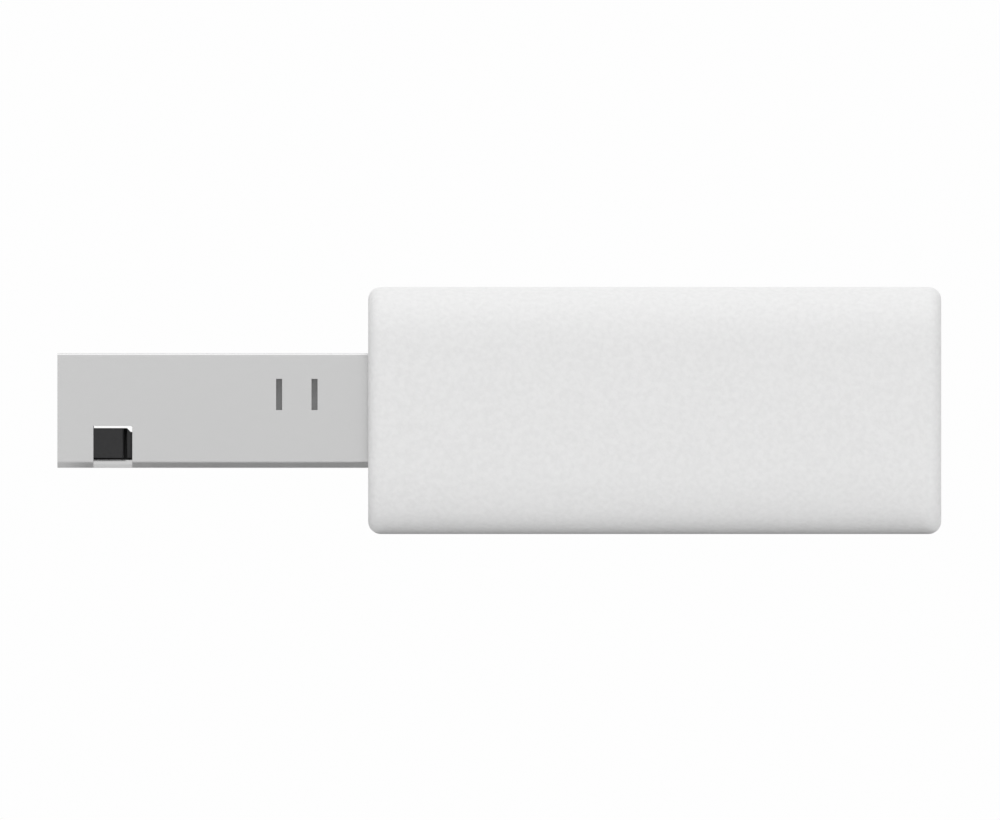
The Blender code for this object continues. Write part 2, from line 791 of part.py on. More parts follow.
def make_crystal():
    """A ceramic tray with a metal lid."""
    length, width, tray, top, rim = 3.2 * MM, 2.5 * MM, 0.5 * MM, 0.8 * MM, 0.12 * MM
    place = (3.0, 4.8)
    body = bevelled(block(length, width, 0, tray), along(Z), rim)
    crystal = solid("crystal", body, ceramic, **on_board(place, True))
    lid = bevelled(block(length - 2 * rim, width - 2 * rim, tray - rim, top), along(Z), rim, 2)
    join(crystal, tool("crystal_lid", lid, **on_board(place, True)))


def make_lights():
    """An indicator chip under each light pipe: a thin carrier with a clear block on it."""
    length, width, height = LIGHT_CHIP
    carrier = 0.25 * MM
    for name, side in LIGHTS:
        where = on_board((BUTTON_X / MM, side * LIGHT_Y / MM), False)
        light = solid(name + "_led", block(length, width, 0, carrier), clear_plastic, **where)
        lens = block(0.7 * length, width - 2 * FIT, carrier - FIT, height)
        bevelled(lens, at(Z, height), FIT)
        join(light, tool(name + "_led_lens", lens, **where))


def make_board_parts():
    make_lights()
    make_controller()
    make_crystal()
    leaded_chip("esd_protector", (-1, 0, 1), (-1, 0, 1), (4.3, 3.25))
    leaded_chip("level_shifter", (-1, 0, 1), (-1, 0, 1), (4.3, -3.25))
    leaded_chip("voltage_regulator", (-1, 0, 1), (-1, 1), (2.8, -5.0), underneath=True)
    two_ended_chip("input_fuse", FUSE_CHIP, dark_green, (1.6, 3.6))
    two_ended_chip("ferrite_bead", RESISTOR_CHIP, dark_grey, (1.6, -3.6))
    for name, place in RESISTORS.items():
        two_ended_chip("resistor_" + name, RESISTOR_CHIP, dark_grey, place)
    for name, place in CAPACITORS.items():
        two_ended_chip("capacitor_" + name, CAPACITOR_CHIP, ceramic, place, underneath=True)


SIDES = (("left", 1), ("right", -1))
LIGHTS = (("busy", 1), ("power", -1))

# Length, width and height of the small chips.
LIGHT_CHIP = (1.6 * MM, 0.8 * MM, 0.6 * MM)
FUSE_CHIP = (2.0 * MM, 1.25 * MM, 0.6 * MM)
RESISTOR_CHIP = (1.6 * MM, 0.8 * MM, 0.45 * MM)
CAPACITOR_CHIP = (1.6 * MM, 0.8 * MM, 0.8 * MM)

# Where they stand on the board, in millimetres.
RESISTORS = {
    "data_plus": (1.6, 1.0),
    "data_minus": (1.6, -1.0),
    "busy_led": (6.6, 5.2),
    "power_led": (6.6, -5.2),
}
CAPACITORS = {
    "crystal_in": (5.6, 4.4),
    "crystal_out": (5.6, 5.8),
    "regulator_in": (5.9, -4.2),
    "regulator_out": (5.9, -5.8),
    "supply": (0.3, 1.5),
    "core": (0.3, -1.5),
}


# ---- Switch, in a frame at its foot -------------------------------------------------------
def make_switch():
    foot = frame("switch_frame", (BUTTON_X, 0, MID_Z + FOOT))
    base = solid("switch_base", block(SWITCH_LENGTH, SWITCH_WIDTH, 0, SWITCH_BASE), black_plastic, foot)
    cut(base, tool("switch_well", rod(SWITCH_WELL_RADIUS, SWITCH_WELL, 2 * SWITCH_BASE, 24), foot))
    make_dome(foot)
    make_plunger(foot)
    make_switch_cover(foot)
    make_terminals(foot)


def make_dome(foot):
    """The springy snap dome under the plunger."""
    rim = SWITCH_WELL + REST + DOME_GAUGE / 2
    rings = 3
    curve = [
        (DOME_RADIUS * ring / rings, rim + DOME_RISE * (1 - (ring / rings) ** 2))
        for ring in range(rings + 1)
    ]
    turned("switch_dome", curve, 20, steel, foot, gauge=DOME_GAUGE)


def make_plunger(foot):
    flange_radius = SWITCH_WELL_RADIUS - 2.5 * RUNNING
    shoulder = PLUNGER_FOOT + PLUNGER_FLANGE
    outline = [
        (0, SWITCH_HEIGHT),
        (PLUNGER_RADIUS, SWITCH_HEIGHT),
        (PLUNGER_RADIUS, shoulder),
        (flange_radius, shoulder),
        (flange_radius, PLUNGER_FOOT),
        (0, PLUNGER_FOOT),
    ]
    turned("switch_plunger", outline, 20, black_plastic, foot)


def make_switch_cover(foot):
    """The steel frame that clips over the base and keeps the plunger in."""
    gauge = 0.12 * MM
    half_width = SWITCH_WIDTH / 2 + FIT + gauge / 2
    top = SWITCH_BASE + FIT + gauge / 2
    skirt = 0.35 * MM
    path = [(0, -half_width, skirt), (0, -half_width, top), (0, half_width, top), (0, half_width, skirt)]
    cover = pressed("switch_cover", path, (SWITCH_LENGTH - 0.4 * MM, 0, 0), gauge, steel, foot)
    cut(cover, tool("plunger_hole", rod(PLUNGER_RADIUS + 2 * FIT, 0, 2 * SWITCH_HEIGHT, 20), foot))


def make_terminals(foot):
    """A bent foot at each end of the base."""
    gauge, width, reach, height = 0.15 * MM, 0.8 * MM, 0.35 * MM, 0.5 * MM
    wall = SWITCH_LENGTH / 2 + REST + gauge / 2
    path = [(wall, 0, height), (wall, 0, gauge / 2), (wall + reach, 0, gauge / 2)]
    for number, turn in enumerate((0, math.pi), 1):
        name = f"switch_terminal_{number}"
        pressed(name, path, (0, width, 0), gauge, steel, foot, turn=(0, 0, turn))


# ---- Target socket, in a frame at the middle of its back face -----------------------------
def make_target_socket():
    socket = frame("target_socket_frame", (SOCKET_BACK, 0, MID_Z))
    half_width, half_height = SOCKET_WIDTH / 2, SOCKET_HEIGHT / 2
    outside = box((-SOCKET_LENGTH, -half_width, -half_height), (0, half_width, half_height))
    housing = solid(
        "target_socket", bevelled(outside, along(X), 1.5 * RUNNING), black_plastic, socket
    )
    middle = (SOCKET_WAYS - 1) / 2
    ways = [
        ((way - middle) * SOCKET_PITCH, row * SOCKET_PITCH / 2)
        for row in (1, -1)
        for way in range(SOCKET_WAYS)
    ]
    for name, shaped in (("funnels", funnel), ("throats", throat), ("chambers", chamber)):
        cut(housing, tool("pin_" + name, merged([shaped(y, z) for y, z in ways]), socket))
    contact = target_contact(socket)
    for number, (y, z) in enumerate(ways, 1):
        turn = (0 if z > 0 else math.pi, 0, 0)
        placed(f"target_contact_{number}", contact, product, socket, (0, y, z), turn)


def funnel(y, z):
    """The four-sided lead-in of a pin hole. Its slope runs on past the socket's face."""
    slope = (FUNNEL_MOUTH - THROAT) / FUNNEL_DEPTH
    outer = FUNNEL_MOUTH + slope * SPILL
    shape = bmesh.new()
    bmesh.ops.create_cone(
        shape,
        cap_ends=True,
        segments=4,
        radius1=THROAT / math.sqrt(2),
        radius2=outer / math.sqrt(2),
        depth=FUNNEL_DEPTH + SPILL,
    )
    squared = Matrix.Rotation(math.radians(45), 3, "Z")
    bmesh.ops.rotate(shape, cent=(0, 0, 0), matrix=squared, verts=shape.verts)
    facing_back = Matrix.Rotation(math.radians(90), 3, "Y")
    bmesh.ops.rotate(shape, cent=(0, 0, 0), matrix=facing_back, verts=shape.verts)
    bmesh.ops.translate(shape, vec=((SPILL - FUNNEL_DEPTH) / 2, y, z), verts=shape.verts)
    return shape


def throat(y, z):
    half = THROAT / 2
    start = -THROAT_DEPTH - RUNNING
    return box((start, y - half, z - half), (-FUNNEL_DEPTH + RUNNING / 2, y + half, z + half))


def chamber(y, z):
    """The space in which a contact's springs open."""
    half_width, half_height = CHAMBER_WIDTH / 2, CHAMBER_HEIGHT / 2
    return box(
        (-SOCKET_LENGTH - SPILL, y - half_width, z - half_height),
        (-THROAT_DEPTH, y + half_width, z + half_height),
    )


def target_contact(socket):
    """A sprung fork that grips a pin, and a tail bent to the board's face. It faces the top row."""
    gauge, width = 0.2 * MM, 1.0 * MM
    mouth, nip, heel = -1.3 * MM, -2.4 * MM, -6.1 * MM
    fork = [
        (mouth, 0.55 * MM, 0),
        (nip, 0.3 * MM, 0),
        (heel, 0.62 * MM, 0),
        (heel, -0.62 * MM, 0),
        (nip, -0.3 * MM, 0),
        (mouth, -0.55 * MM, 0),
    ]
    contact = placed("contact_fork", mesh_of("target_contact", strip(fork, (0, 0, width))), cutters, socket)
    contact.hide_render = True
    contact.display_type = "WIRE"
    thicken(contact, gauge)
    tail_gauge, tail_width = 0.25 * MM, 0.6 * MM
    drop = SOCKET_PITCH / 2 - FOOT - tail_gauge / 2
    tail = [
        (heel, 0, 0),
        (-SOCKET_LENGTH + RUNNING, 0, 0),
        (-SOCKET_LENGTH - 3 * RUNNING, 0, -drop),
        (-SOCKET_LENGTH - 2.4 * MM, 0, -drop),
    ]
    join(contact, sheet_tool("contact_tail", [strip(tail, (0, tail_width, 0))], tail_gauge, socket))
    mesh = freeze(contact)
    mesh.materials.clear()
    mesh.materials.append(gold)
    return mesh


# ---- Build --------------------------------------------------------------------------------
clear_scene()
product = collection("usb_programmer")
cutters = collection("cutters")

white_plastic = finish("white plastic", (0.82, 0.82, 0.81), 0.55)
black_plastic = finish("black plastic", (0.02, 0.02, 0.022), 0.45)
clear_plastic = finish("clear plastic", (0.8, 0.84, 0.84), 0.15)
steel = finish("nickel plated steel", (0.56, 0.56, 0.56), 0.35, 1.0)
gold = finish("gold plate", (0.83, 0.61, 0.26), 0.25, 1.0)
green_board = finish("green board", (0.02, 0.16, 0.06), 0.4)
dark_green = finish("dark green", (0.02, 0.1, 0.05), 0.5)
dark_grey = finish("dark grey", (0.04, 0.04, 0.045), 0.5)
ceramic = finish("ceramic", (0.45, 0.33, 0.22), 0.6)

make_sleeve()
make_rear_cover()
make_mode_button()
make_light_pipes()
make_plug()
make_board()
make_board_parts()
make_switch()
make_target_socket()
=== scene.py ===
import json
import math

import bmesh
import bpy
from mathutils import Matrix, Vector

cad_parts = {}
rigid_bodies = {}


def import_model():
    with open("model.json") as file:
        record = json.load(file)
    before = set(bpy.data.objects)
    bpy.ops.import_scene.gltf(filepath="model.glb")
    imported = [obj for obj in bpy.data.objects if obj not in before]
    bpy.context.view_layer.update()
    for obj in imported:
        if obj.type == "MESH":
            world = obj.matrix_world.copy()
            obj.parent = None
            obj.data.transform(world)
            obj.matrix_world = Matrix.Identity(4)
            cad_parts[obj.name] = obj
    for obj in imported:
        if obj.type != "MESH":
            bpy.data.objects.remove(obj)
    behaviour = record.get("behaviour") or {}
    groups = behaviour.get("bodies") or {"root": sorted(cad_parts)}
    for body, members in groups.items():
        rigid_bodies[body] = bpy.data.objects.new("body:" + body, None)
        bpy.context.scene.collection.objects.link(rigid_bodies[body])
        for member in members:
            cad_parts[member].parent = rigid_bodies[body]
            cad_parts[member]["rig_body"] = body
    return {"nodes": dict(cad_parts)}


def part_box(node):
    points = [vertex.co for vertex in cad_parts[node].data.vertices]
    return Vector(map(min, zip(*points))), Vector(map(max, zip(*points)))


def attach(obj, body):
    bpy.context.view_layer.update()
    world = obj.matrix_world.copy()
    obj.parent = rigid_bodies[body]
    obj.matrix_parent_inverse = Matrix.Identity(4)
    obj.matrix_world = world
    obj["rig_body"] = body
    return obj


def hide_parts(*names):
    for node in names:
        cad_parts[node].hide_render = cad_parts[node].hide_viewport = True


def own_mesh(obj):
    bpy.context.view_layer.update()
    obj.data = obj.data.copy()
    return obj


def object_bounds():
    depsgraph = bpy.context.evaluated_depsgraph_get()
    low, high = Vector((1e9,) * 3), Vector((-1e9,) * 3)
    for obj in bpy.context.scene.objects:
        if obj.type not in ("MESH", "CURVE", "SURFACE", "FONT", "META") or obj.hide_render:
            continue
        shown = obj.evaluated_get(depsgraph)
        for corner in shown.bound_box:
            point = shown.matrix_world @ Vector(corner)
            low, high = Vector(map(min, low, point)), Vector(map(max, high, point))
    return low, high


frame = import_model()
cadLow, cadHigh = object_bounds()

mm = 0.001
axisX, axisY, axisZ = 0, 1, 2
spill = 0.5 * mm  # how far a cutter runs past what it cuts
touch, weld = 1e-8, 1e-7  # places this close are the same, points this close become one
mouthTurn, mouthSteps = 75, 5  # a rounded mouth turns this many degrees, then runs out straight
mouthRun = spill * math.tan(math.radians(mouthTurn))
sides = (1, -1)  # left, then right
sharpAngle = 32  # degrees; an edge that turns more stays crisp
print("frame loaded:", len(frame["nodes"]), "nodes")


# mesh helpers

def block(low, high):
    bm = bmesh.new()
    bmesh.ops.create_cube(bm, size=1.0)
    low, high = Vector(low), Vector(high)
    fitted = Matrix.LocRotScale((low + high) / 2, None, high - low)
    bmesh.ops.transform(bm, matrix=fitted, verts=bm.verts)
    return bm


def sideBlock(side, xRange, yRange, zRange):  # at +y, or mirrored to -y
    near, far = sorted((side * yRange[0], side * yRange[1]))
    return block((xRange[0], near, zRange[0]), (xRange[1], far, zRange[1]))


def onBothSides(xRange, yRange, zRange):
    return [sideBlock(side, xRange, yRange, zRange) for side in sides]


def along(axis):
    def chosen(edge):
        span = edge.verts[1].co - edge.verts[0].co
        return abs(abs(span[axis]) - span.length) < touch
    return chosen


def at(axis, *places):
    def chosen(edge):
        return any(all(abs(v.co[axis] - place) < touch for v in edge.verts) for place in places)
    return chosen


def both(first, second):
    return lambda edge: first(edge) and second(edge)


def either(first, second):
    return lambda edge: first(edge) or second(edge)


def everyEdge(edge):
    return True


def softened(bm, chosen, width, segments=3):
    edges = [e for e in bm.edges if chosen(e)]
    bmesh.ops.bevel(bm, geom=edges, offset=width, segments=segments, profile=0.5,
                    affect="EDGES", material=-1)
    return bm


def moved(bm, by):
    bmesh.ops.translate(bm, vec=by, verts=bm.verts)
    return bm


def turned(bm, angle, axis):
    bmesh.ops.rotate(bm, cent=(0, 0, 0), matrix=Matrix.Rotation(angle, 3, axis), verts=bm.verts)
    return bm


def painted(bm, index):  # every face takes that material slot
    for face in bm.faces:
        face.material_index = index
    return bm


def spun(points, steps, place=(0, 0, 0)):  # (radius, height) points from the top of the axis to its foot
    bm = bmesh.new()
    verts = [bm.verts.new((radius, 0, height)) for radius, height in points]
    edges = [bm.edges.new(pair) for pair in zip(verts, verts[1:])]
    bmesh.ops.spin(bm, geom=verts + edges, cent=(0, 0, 0), axis=(0, 0, 1),
                   angle=2 * math.pi, steps=steps, use_merge=True)
    bmesh.ops.remove_doubles(bm, verts=bm.verts, dist=touch)
    bmesh.ops.recalc_face_normals(bm, faces=bm.faces)
    return moved(bm, place)


def arc(centre, radius, start, end, steps):  # points round a quarter or so, angles in degrees
    angles = [math.radians(start + (end - start) * step / steps) for step in range(steps + 1)]
    return [(centre[0] + radius * math.cos(a), centre[1] + radius * math.sin(a)) for a in angles]


def holeCutter(radius, top, foot, mouth, steps, place):  # a turned cutter whose mouth is rounded
    rounding = arc((radius + mouth, top - mouth), mouth, 180 - mouthTurn, 180, mouthSteps)
    wide = rounding[0][0] + mouthRun
    outline = [(0, top + spill), (wide, top + spill)] + rounding + [(radius, foot), (0, foot)]
    return spun(outline, steps, place)


def openBar(low, high, corner, segments, end, mouth):
    # a bar cutter along x, with a rounded mouth at its high end (1) or its low one (-1)
    bm = softened(block(low, high), along(axisX), corner, segments)
    place = high[0] if end > 0 else low[0]
    face = next(f for f in bm.faces if all(abs(v.co.x - place) < touch for v in f.verts))
    centre = face.calc_center_median()
    half = Vector((1, (high[1] - low[1]) / 2, (high[2] - low[2]) / 2))
    grown = 0
    for v in face.verts:
        v.co.x -= end * mouth
    turns = [math.radians(mouthTurn / mouthSteps * step) for step in range(1, mouthSteps + 1)]
    rings = [(mouth * math.sin(turn), mouth * (1 - math.cos(turn))) for turn in turns]
    rings.append((mouth + spill, rings[-1][1] + mouthRun))
    for forward, outward in rings:
        face = bmesh.ops.extrude_discrete_faces(bm, faces=[face])["faces"][0]
        for v in face.verts:
            v.co.x = place + end * (forward - mouth)
            v.co.y = centre.y + (v.co.y - centre.y) * (half.y + outward) / (half.y + grown)
            v.co.z = centre.z + (v.co.z - centre.z) * (half.z + outward) / (half.z + grown)
        grown = outward
    bmesh.ops.recalc_face_normals(bm, faces=bm.faces)
    return bm


def strip(path, across):  # a surface swept sideways from a path
    bm = bmesh.new()
    across = Vector(across)
    verts = [bm.verts.new(Vector(point) - across / 2) for point in path]
    edges = [bm.edges.new(pair) for pair in zip(verts, verts[1:])]
    swept = bmesh.ops.extrude_edge_only(bm, edges=edges)["geom"]
    far = [item for item in swept if isinstance(item, bmesh.types.BMVert)]
    bmesh.ops.translate(bm, vec=across, verts=far)
    return bm


def bent(corners, radius, steps=5):  # the path through these corners, rounded at each
    corners = [Vector(corner) for corner in corners]
    path = [corners[0]]
    for before, corner, after in zip(corners, corners[1:], corners[2:]):
        start = corner + (before - corner).normalized() * radius
        end = corner + (after - corner).normalized() * radius
        for step in range(steps + 1):
            t = step / steps
            path.append(start * (1 - t) ** 2 + corner * 2 * t * (1 - t) + end * t ** 2)
    return path + [corners[-1]]


def meshOf(bm, name):
    mesh = bpy.data.meshes.new(name)
    bm.to_mesh(mesh)
    bm.free()
    return mesh


def placed(name, data):  # a new object in the scene
    obj = bpy.data.objects.new(name, data)
    bpy.context.scene.collection.objects.link(obj)
    return obj


def spare(bm):  # a passing object that carries modifiers
    return placed("spare", meshOf(bm, "spare"))


def taken(obj, *helpers):  # the evaluated mesh as a bmesh; the passing objects go
    bpy.context.view_layer.update()
    graph = bpy.context.evaluated_depsgraph_get()
    mesh = bpy.data.meshes.new_from_object(obj.evaluated_get(graph))
    bm = bmesh.new()
    bm.from_mesh(mesh)
    bpy.data.meshes.remove(mesh)
    for old in (obj, *helpers):
        data = old.data
        bpy.data.objects.remove(old)
        bpy.data.meshes.remove(data)
    return bm


def combined(bm, operation, *others):
    obj = spare(bm)
    helpers = [spare(other) for other in others]
    for helper in helpers:
        step = obj.modifiers.new("join", "BOOLEAN")
        step.operation = operation
        step.object = helper
    whole = taken(obj, *helpers)
    bmesh.ops.remove_doubles(whole, verts=whole.verts, dist=weld)
    return whole


def cut(bm, *others):
    return combined(bm, "DIFFERENCE", *others)


def fused(bm, *others):
    return combined(bm, "UNION", *others)


def thick(bm, gauge):  # a sheet gets its gauge, half on each side
    obj = spare(bm)
    step = obj.modifiers.new("gauge", "SOLIDIFY")
    step.thickness = gauge
    step.offset = 0.0
    step.use_even_offset = True
    return taken(obj)


def broken(bm, width, segments=2, angle=50):  # every hard edge is taken off a little
    obj = spare(bm)
    step = obj.modifiers.new("edges", "BEVEL")
    step.width = width
    step.segments = segments
    step.limit_method = "ANGLE"
    step.angle_limit = math.radians(angle)
    step.miter_outer = "MITER_ARC"
    return taken(obj)


def gathered(shapes):  # shapes that don't touch, as one mesh
    whole = bmesh.new()
    for shape in shapes:
        mesh = meshOf(shape, "spare")
        whole.from_mesh(mesh)
        bpy.data.meshes.remove(mesh)
    return whole


def makePiece(name, bm, node, *looks, slot=None):  # the slot argument is not used
    mesh = meshOf(bm, name)
    mesh.shade_smooth()
    mesh.set_sharp_from_angle(angle=math.radians(sharpAngle))
    for look in looks:
        mesh.materials.append(finishes[look])
    obj = placed(name, mesh)
    level = obj.modifiers.new("even shading", "WEIGHTED_NORMAL")
    level.keep_sharp = True
    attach(obj, frame["nodes"][node]["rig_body"])
    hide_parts(node)
    return obj


# finishes

def addNode(tree, kind, settings=(), **inputs):
    node = tree.nodes.new(kind)
    for key, value in dict(settings).items():
        setattr(node, key, value)
    for key, value in inputs.items():
        node.inputs[key.replace("_", " ")].default_value = value
    return node


def noiseOn(tree, size, detail=3.0, roughness=0.55, stretch=(1, 1, 1), place=(0, 0, 0)):
    # size is that of one speckle, in metres
    spot = addNode(tree, "ShaderNodeTexCoord")
    turn = addNode(tree, "ShaderNodeMapping", Location=place, Scale=stretch)
    noise = addNode(tree, "ShaderNodeTexNoise", Scale=1 / size, Detail=detail, Roughness=roughness)
    tree.links.new(spot.outputs["Object"], turn.inputs["Vector"])
    tree.links.new(turn.outputs["Vector"], noise.inputs["Vector"])
    return noise.outputs["Fac"]


def spread(tree, value, low, high, fromLow=0.3, fromHigh=0.7):
    node = addNode(tree, "ShaderNodeMapRange", From_Min=fromLow, From_Max=fromHigh,
                   To_Min=low, To_Max=high)
    tree.links.new(value, node.inputs["Value"])
    return node.outputs["Result"]


def tinted(tree, value, first, second):
    node = addNode(tree, "ShaderNodeMix", {"data_type": "RGBA"})
    node.inputs[6].default_value = (*first, 1)  # 6 and 7 are the two colours, output 2 is the mix
    node.inputs[7].default_value = (*second, 1)
    tree.links.new(value, node.inputs["Factor"])
    return node.outputs[2]


def bumped(tree, value, depth, strength=1.0, below=None):
    node = addNode(tree, "ShaderNodeBump", Strength=strength, Distance=depth)
    tree.links.new(value, node.inputs["Height"])
    if below:
        tree.links.new(below, node.inputs["Normal"])
    return node.outputs["Normal"]


def startFinish(name, **sockets):
    made = bpy.data.materials.new(name)
    made.use_nodes = True
    tree = made.node_tree
    shader = tree.nodes["Principled BSDF"]
    for key, value in sockets.items():
        shader.inputs[key.replace("_", " ")].default_value = value
    return made, tree, shader


def shade(colour, by):
    return tuple(min(1.0, part * by) for part in colour)


def makeFinish(name, look):
    # one colour with an even mottle, a roughness that wanders and a surface grain
    made, tree, shader = startFinish(name, Metallic=look.get("metal", 0.0),
                                     Specular_IOR_Level=look.get("specular", 0.5))
    size = look["grain"]
    stretch = look.get("stretch", (1, 1, 1))
    fine = noiseOn(tree, size, look.get("detail", 2.0), 0.5, stretch)
    broad = noiseOn(tree, size * look.get("patch", 18), 3.0, 0.55, place=(0.03, 0.01, 0.02))
    mottle = look["mottle"]
    first = tinted(tree, spread(tree, fine, 0, 1), shade(look["colour"], 1 - mottle),
                   shade(look["colour"], 1 + mottle))
    cloud = look.get("cloud", mottle)
    mixed = addNode(tree, "ShaderNodeMix", {"data_type": "RGBA", "blend_type": "MULTIPLY"})
    mixed.inputs["Factor"].default_value = 1.0
    tree.links.new(first, mixed.inputs[6])
    tree.links.new(tinted(tree, spread(tree, broad, 0, 1), (1 - cloud,) * 3, (1, 1, 1)), mixed.inputs[7])
    tree.links.new(mixed.outputs[2], shader.inputs["Base Color"])
    wander = look.get("wander", 0.06)
    rough = look["rough"]
    tree.links.new(spread(tree, broad, rough - wander, rough + wander), shader.inputs["Roughness"])
    coarse = bumped(tree, fine, look["depth"])
    tiny = noiseOn(tree, size * 0.4, 1.0, 0.5, stretch, place=(0.01, 0.02, 0.03))
    tree.links.new(bumped(tree, tiny, look["depth"] * 0.35, below=coarse), shader.inputs["Normal"])
    return made


looks = {
    "white_plastic": dict(colour=(0.9, 0.9, 0.9), rough=0.55, grain=0.19 * mm, depth=0.02 * mm,
                          mottle=0.022, cloud=0.006, specular=0.35, detail=1.0),
    "black_plastic": dict(colour=(0.017, 0.017, 0.018), rough=0.42, grain=0.12 * mm, depth=0.003 * mm,
                          mottle=0.12, cloud=0.1, specular=0.4),
    "plated_steel": dict(colour=(0.61, 0.61, 0.61), rough=0.21, grain=0.05 * mm, depth=0.0004 * mm,
                         mottle=0.01, cloud=0.01, metal=1.0, wander=0.02, patch=60,
                         stretch=(0.06, 1, 1)),
    # bare steel for the slit walls, made darker than bare steel as painted shade inside the slits
    "raw_steel_painted_shade": dict(colour=(0.25, 0.25, 0.25), rough=0.5, grain=0.04 * mm, depth=0.002 * mm,
                      mottle=0.1, cloud=0.1, metal=1.0, wander=0.08),
    "gold_plate": dict(colour=(0.83, 0.6, 0.28), rough=0.24, grain=0.06 * mm, depth=0.0005 * mm,
                       mottle=0.03, cloud=0.06, metal=1.0, wander=0.06, stretch=(0.1, 1, 1)),
    "tin": dict(colour=(0.66, 0.66, 0.67), rough=0.36, grain=0.08 * mm, depth=0.002 * mm,
                mottle=0.04, cloud=0.06, metal=1.0, wander=0.1),
    "chip_grey": dict(colour=(0.03, 0.03, 0.034), rough=0.5, grain=0.05 * mm, depth=0.001 * mm,
                      mottle=0.15, cloud=0.1),
    "chip_ceramic": dict(colour=(0.42, 0.27, 0.15), rough=0.55, grain=0.05 * mm, depth=0.001 * mm,
                         mottle=0.06, cloud=0.08),
    "pale_ceramic": dict(colour=(0.72, 0.7, 0.66), rough=0.6, grain=0.05 * mm, depth=0.001 * mm,
                         mottle=0.04, cloud=0.05),
    "fuse_green": dict(colour=(0.02, 0.09, 0.05), rough=0.5, grain=0.06 * mm, depth=0.001 * mm,
                       mottle=0.12, cloud=0.1),
    "laminate": dict(colour=(0.42, 0.38, 0.2), rough=0.7, grain=0.08 * mm, depth=0.004 * mm,
                     mottle=0.1, cloud=0.1, stretch=(1, 1, 0.3)),
}


clearMake = dict(flow=0.5 * mm, depth=0.003 * mm, dark=(0.84, 0.86, 0.86), light=(0.91, 0.93, 0.93),
                 rough=(0.2, 0.3))
maskMake = dict(weave=0.25 * mm, depth=0.004 * mm, cloud=2.0 * mm, dark=(0.006, 0.1, 0.035),
                light=(0.01, 0.14, 0.05), rough=(0.3, 0.42))


def makeClear(name):
    # clear moulding with faint flow marks
    make = clearMake
    made, tree, shader = startFinish(name, Transmission_Weight=0.55, IOR=1.49, Metallic=0.0)
    flow = noiseOn(tree, make["flow"], 2.0, 0.5)
    tinge = tinted(tree, spread(tree, flow, 0, 1), make["dark"], make["light"])
    tree.links.new(tinge, shader.inputs["Base Color"])
    tree.links.new(spread(tree, flow, *make["rough"]), shader.inputs["Roughness"])
    tree.links.new(bumped(tree, flow, make["depth"]), shader.inputs["Normal"])
    return made


def makeMask(name):
    # green solder mask over a weave that just shows
    make = maskMake
    made, tree, shader = startFinish(name, Coat_Weight=0.3, Coat_Roughness=0.15)
    weave = noiseOn(tree, make["weave"], 1.0, 0.5, (1, 1, 0.2))
    cloud = noiseOn(tree, make["cloud"], 3.0, 0.6)
    tinge = tinted(tree, spread(tree, cloud, 0, 1), make["dark"], make["light"])
    tree.links.new(tinge, shader.inputs["Base Color"])
    tree.links.new(spread(tree, cloud, *make["rough"]), shader.inputs["Roughness"])
    tree.links.new(bumped(tree, weave, make["depth"]), shader.inputs["Normal"])
    return made


finishes = {name: makeFinish(name.replace("_", " "), look) for name, look in looks.items()}
finishes["clear_plastic"] = makeClear("clear plastic")
finishes["green_board"] = makeMask("green solder mask")
print("finishes made:", len(finishes))


# the white sleeve

sleeveMake = dict(
    wall=1.2 * mm, corner=2.4 * mm, cornerSteps=18, rim=0.5 * mm, rimSteps=7, lip=0.12 * mm,
    plugHalf=(6.1 * mm, 2.35 * mm), plugCorner=0.5 * mm,
    ribReach=1.05 * mm, ribHalf=1.4 * mm, ribRoot=0.1 * mm, ribShort=1.0 * mm,
    grooveHalf=(7.3 * mm, 0.9 * mm), groovePlay=0.1 * mm, grooveRun=1.0 * mm,
    pocketBack=3.3 * mm, pocketLength=1.6 * mm, pocketDepth=0.4 * mm, pocketHalf=1.9 * mm,
)
dishMake = dict(radius=3.1 * mm, depth=0.35 * mm, rings=12, easing=0.8, easingRate=0.6, beyond=0.02 * mm,
                steps=96, hole=1.6 * mm, holeDrop=0.262 * mm, holeEdge=0.05 * mm)
lightMake = dict(play=0.04 * mm, head=0.45 * mm, shaft=0.75 * mm, steps=64, dome=0.03 * mm,
                 edge=0.08 * mm, footEdge=0.05 * mm, mouth=0.06 * mm)


def boxCentre(node):
    low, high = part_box(node)
    return (low + high) / 2


def over(node, height):  # the spot at that height over the middle of a node
    centre = boxCentre(node)
    return centre.x, centre.y, height


def dishCutter(place):
    # a shallow bowl whose slope eases off towards its rim
    make = dishMake
    radius, depth, rings, easing = make["radius"], make["depth"], make["rings"], make["easing"]
    points, height, ring = [(0, -depth)], -depth, 0
    pace = radius / rings
    while height < make["beyond"]:
        ring += 1
        middle = (ring - 0.5) / rings
        slope = 2 * depth / radius * min(middle, easing - make["easingRate"] * max(0, middle - easing))
        height += slope * pace
        points.append((ring * pace, height))
    points += [(points[-1][0], spill), (0, spill)]
    return spun(points[::-1], make["steps"], place)


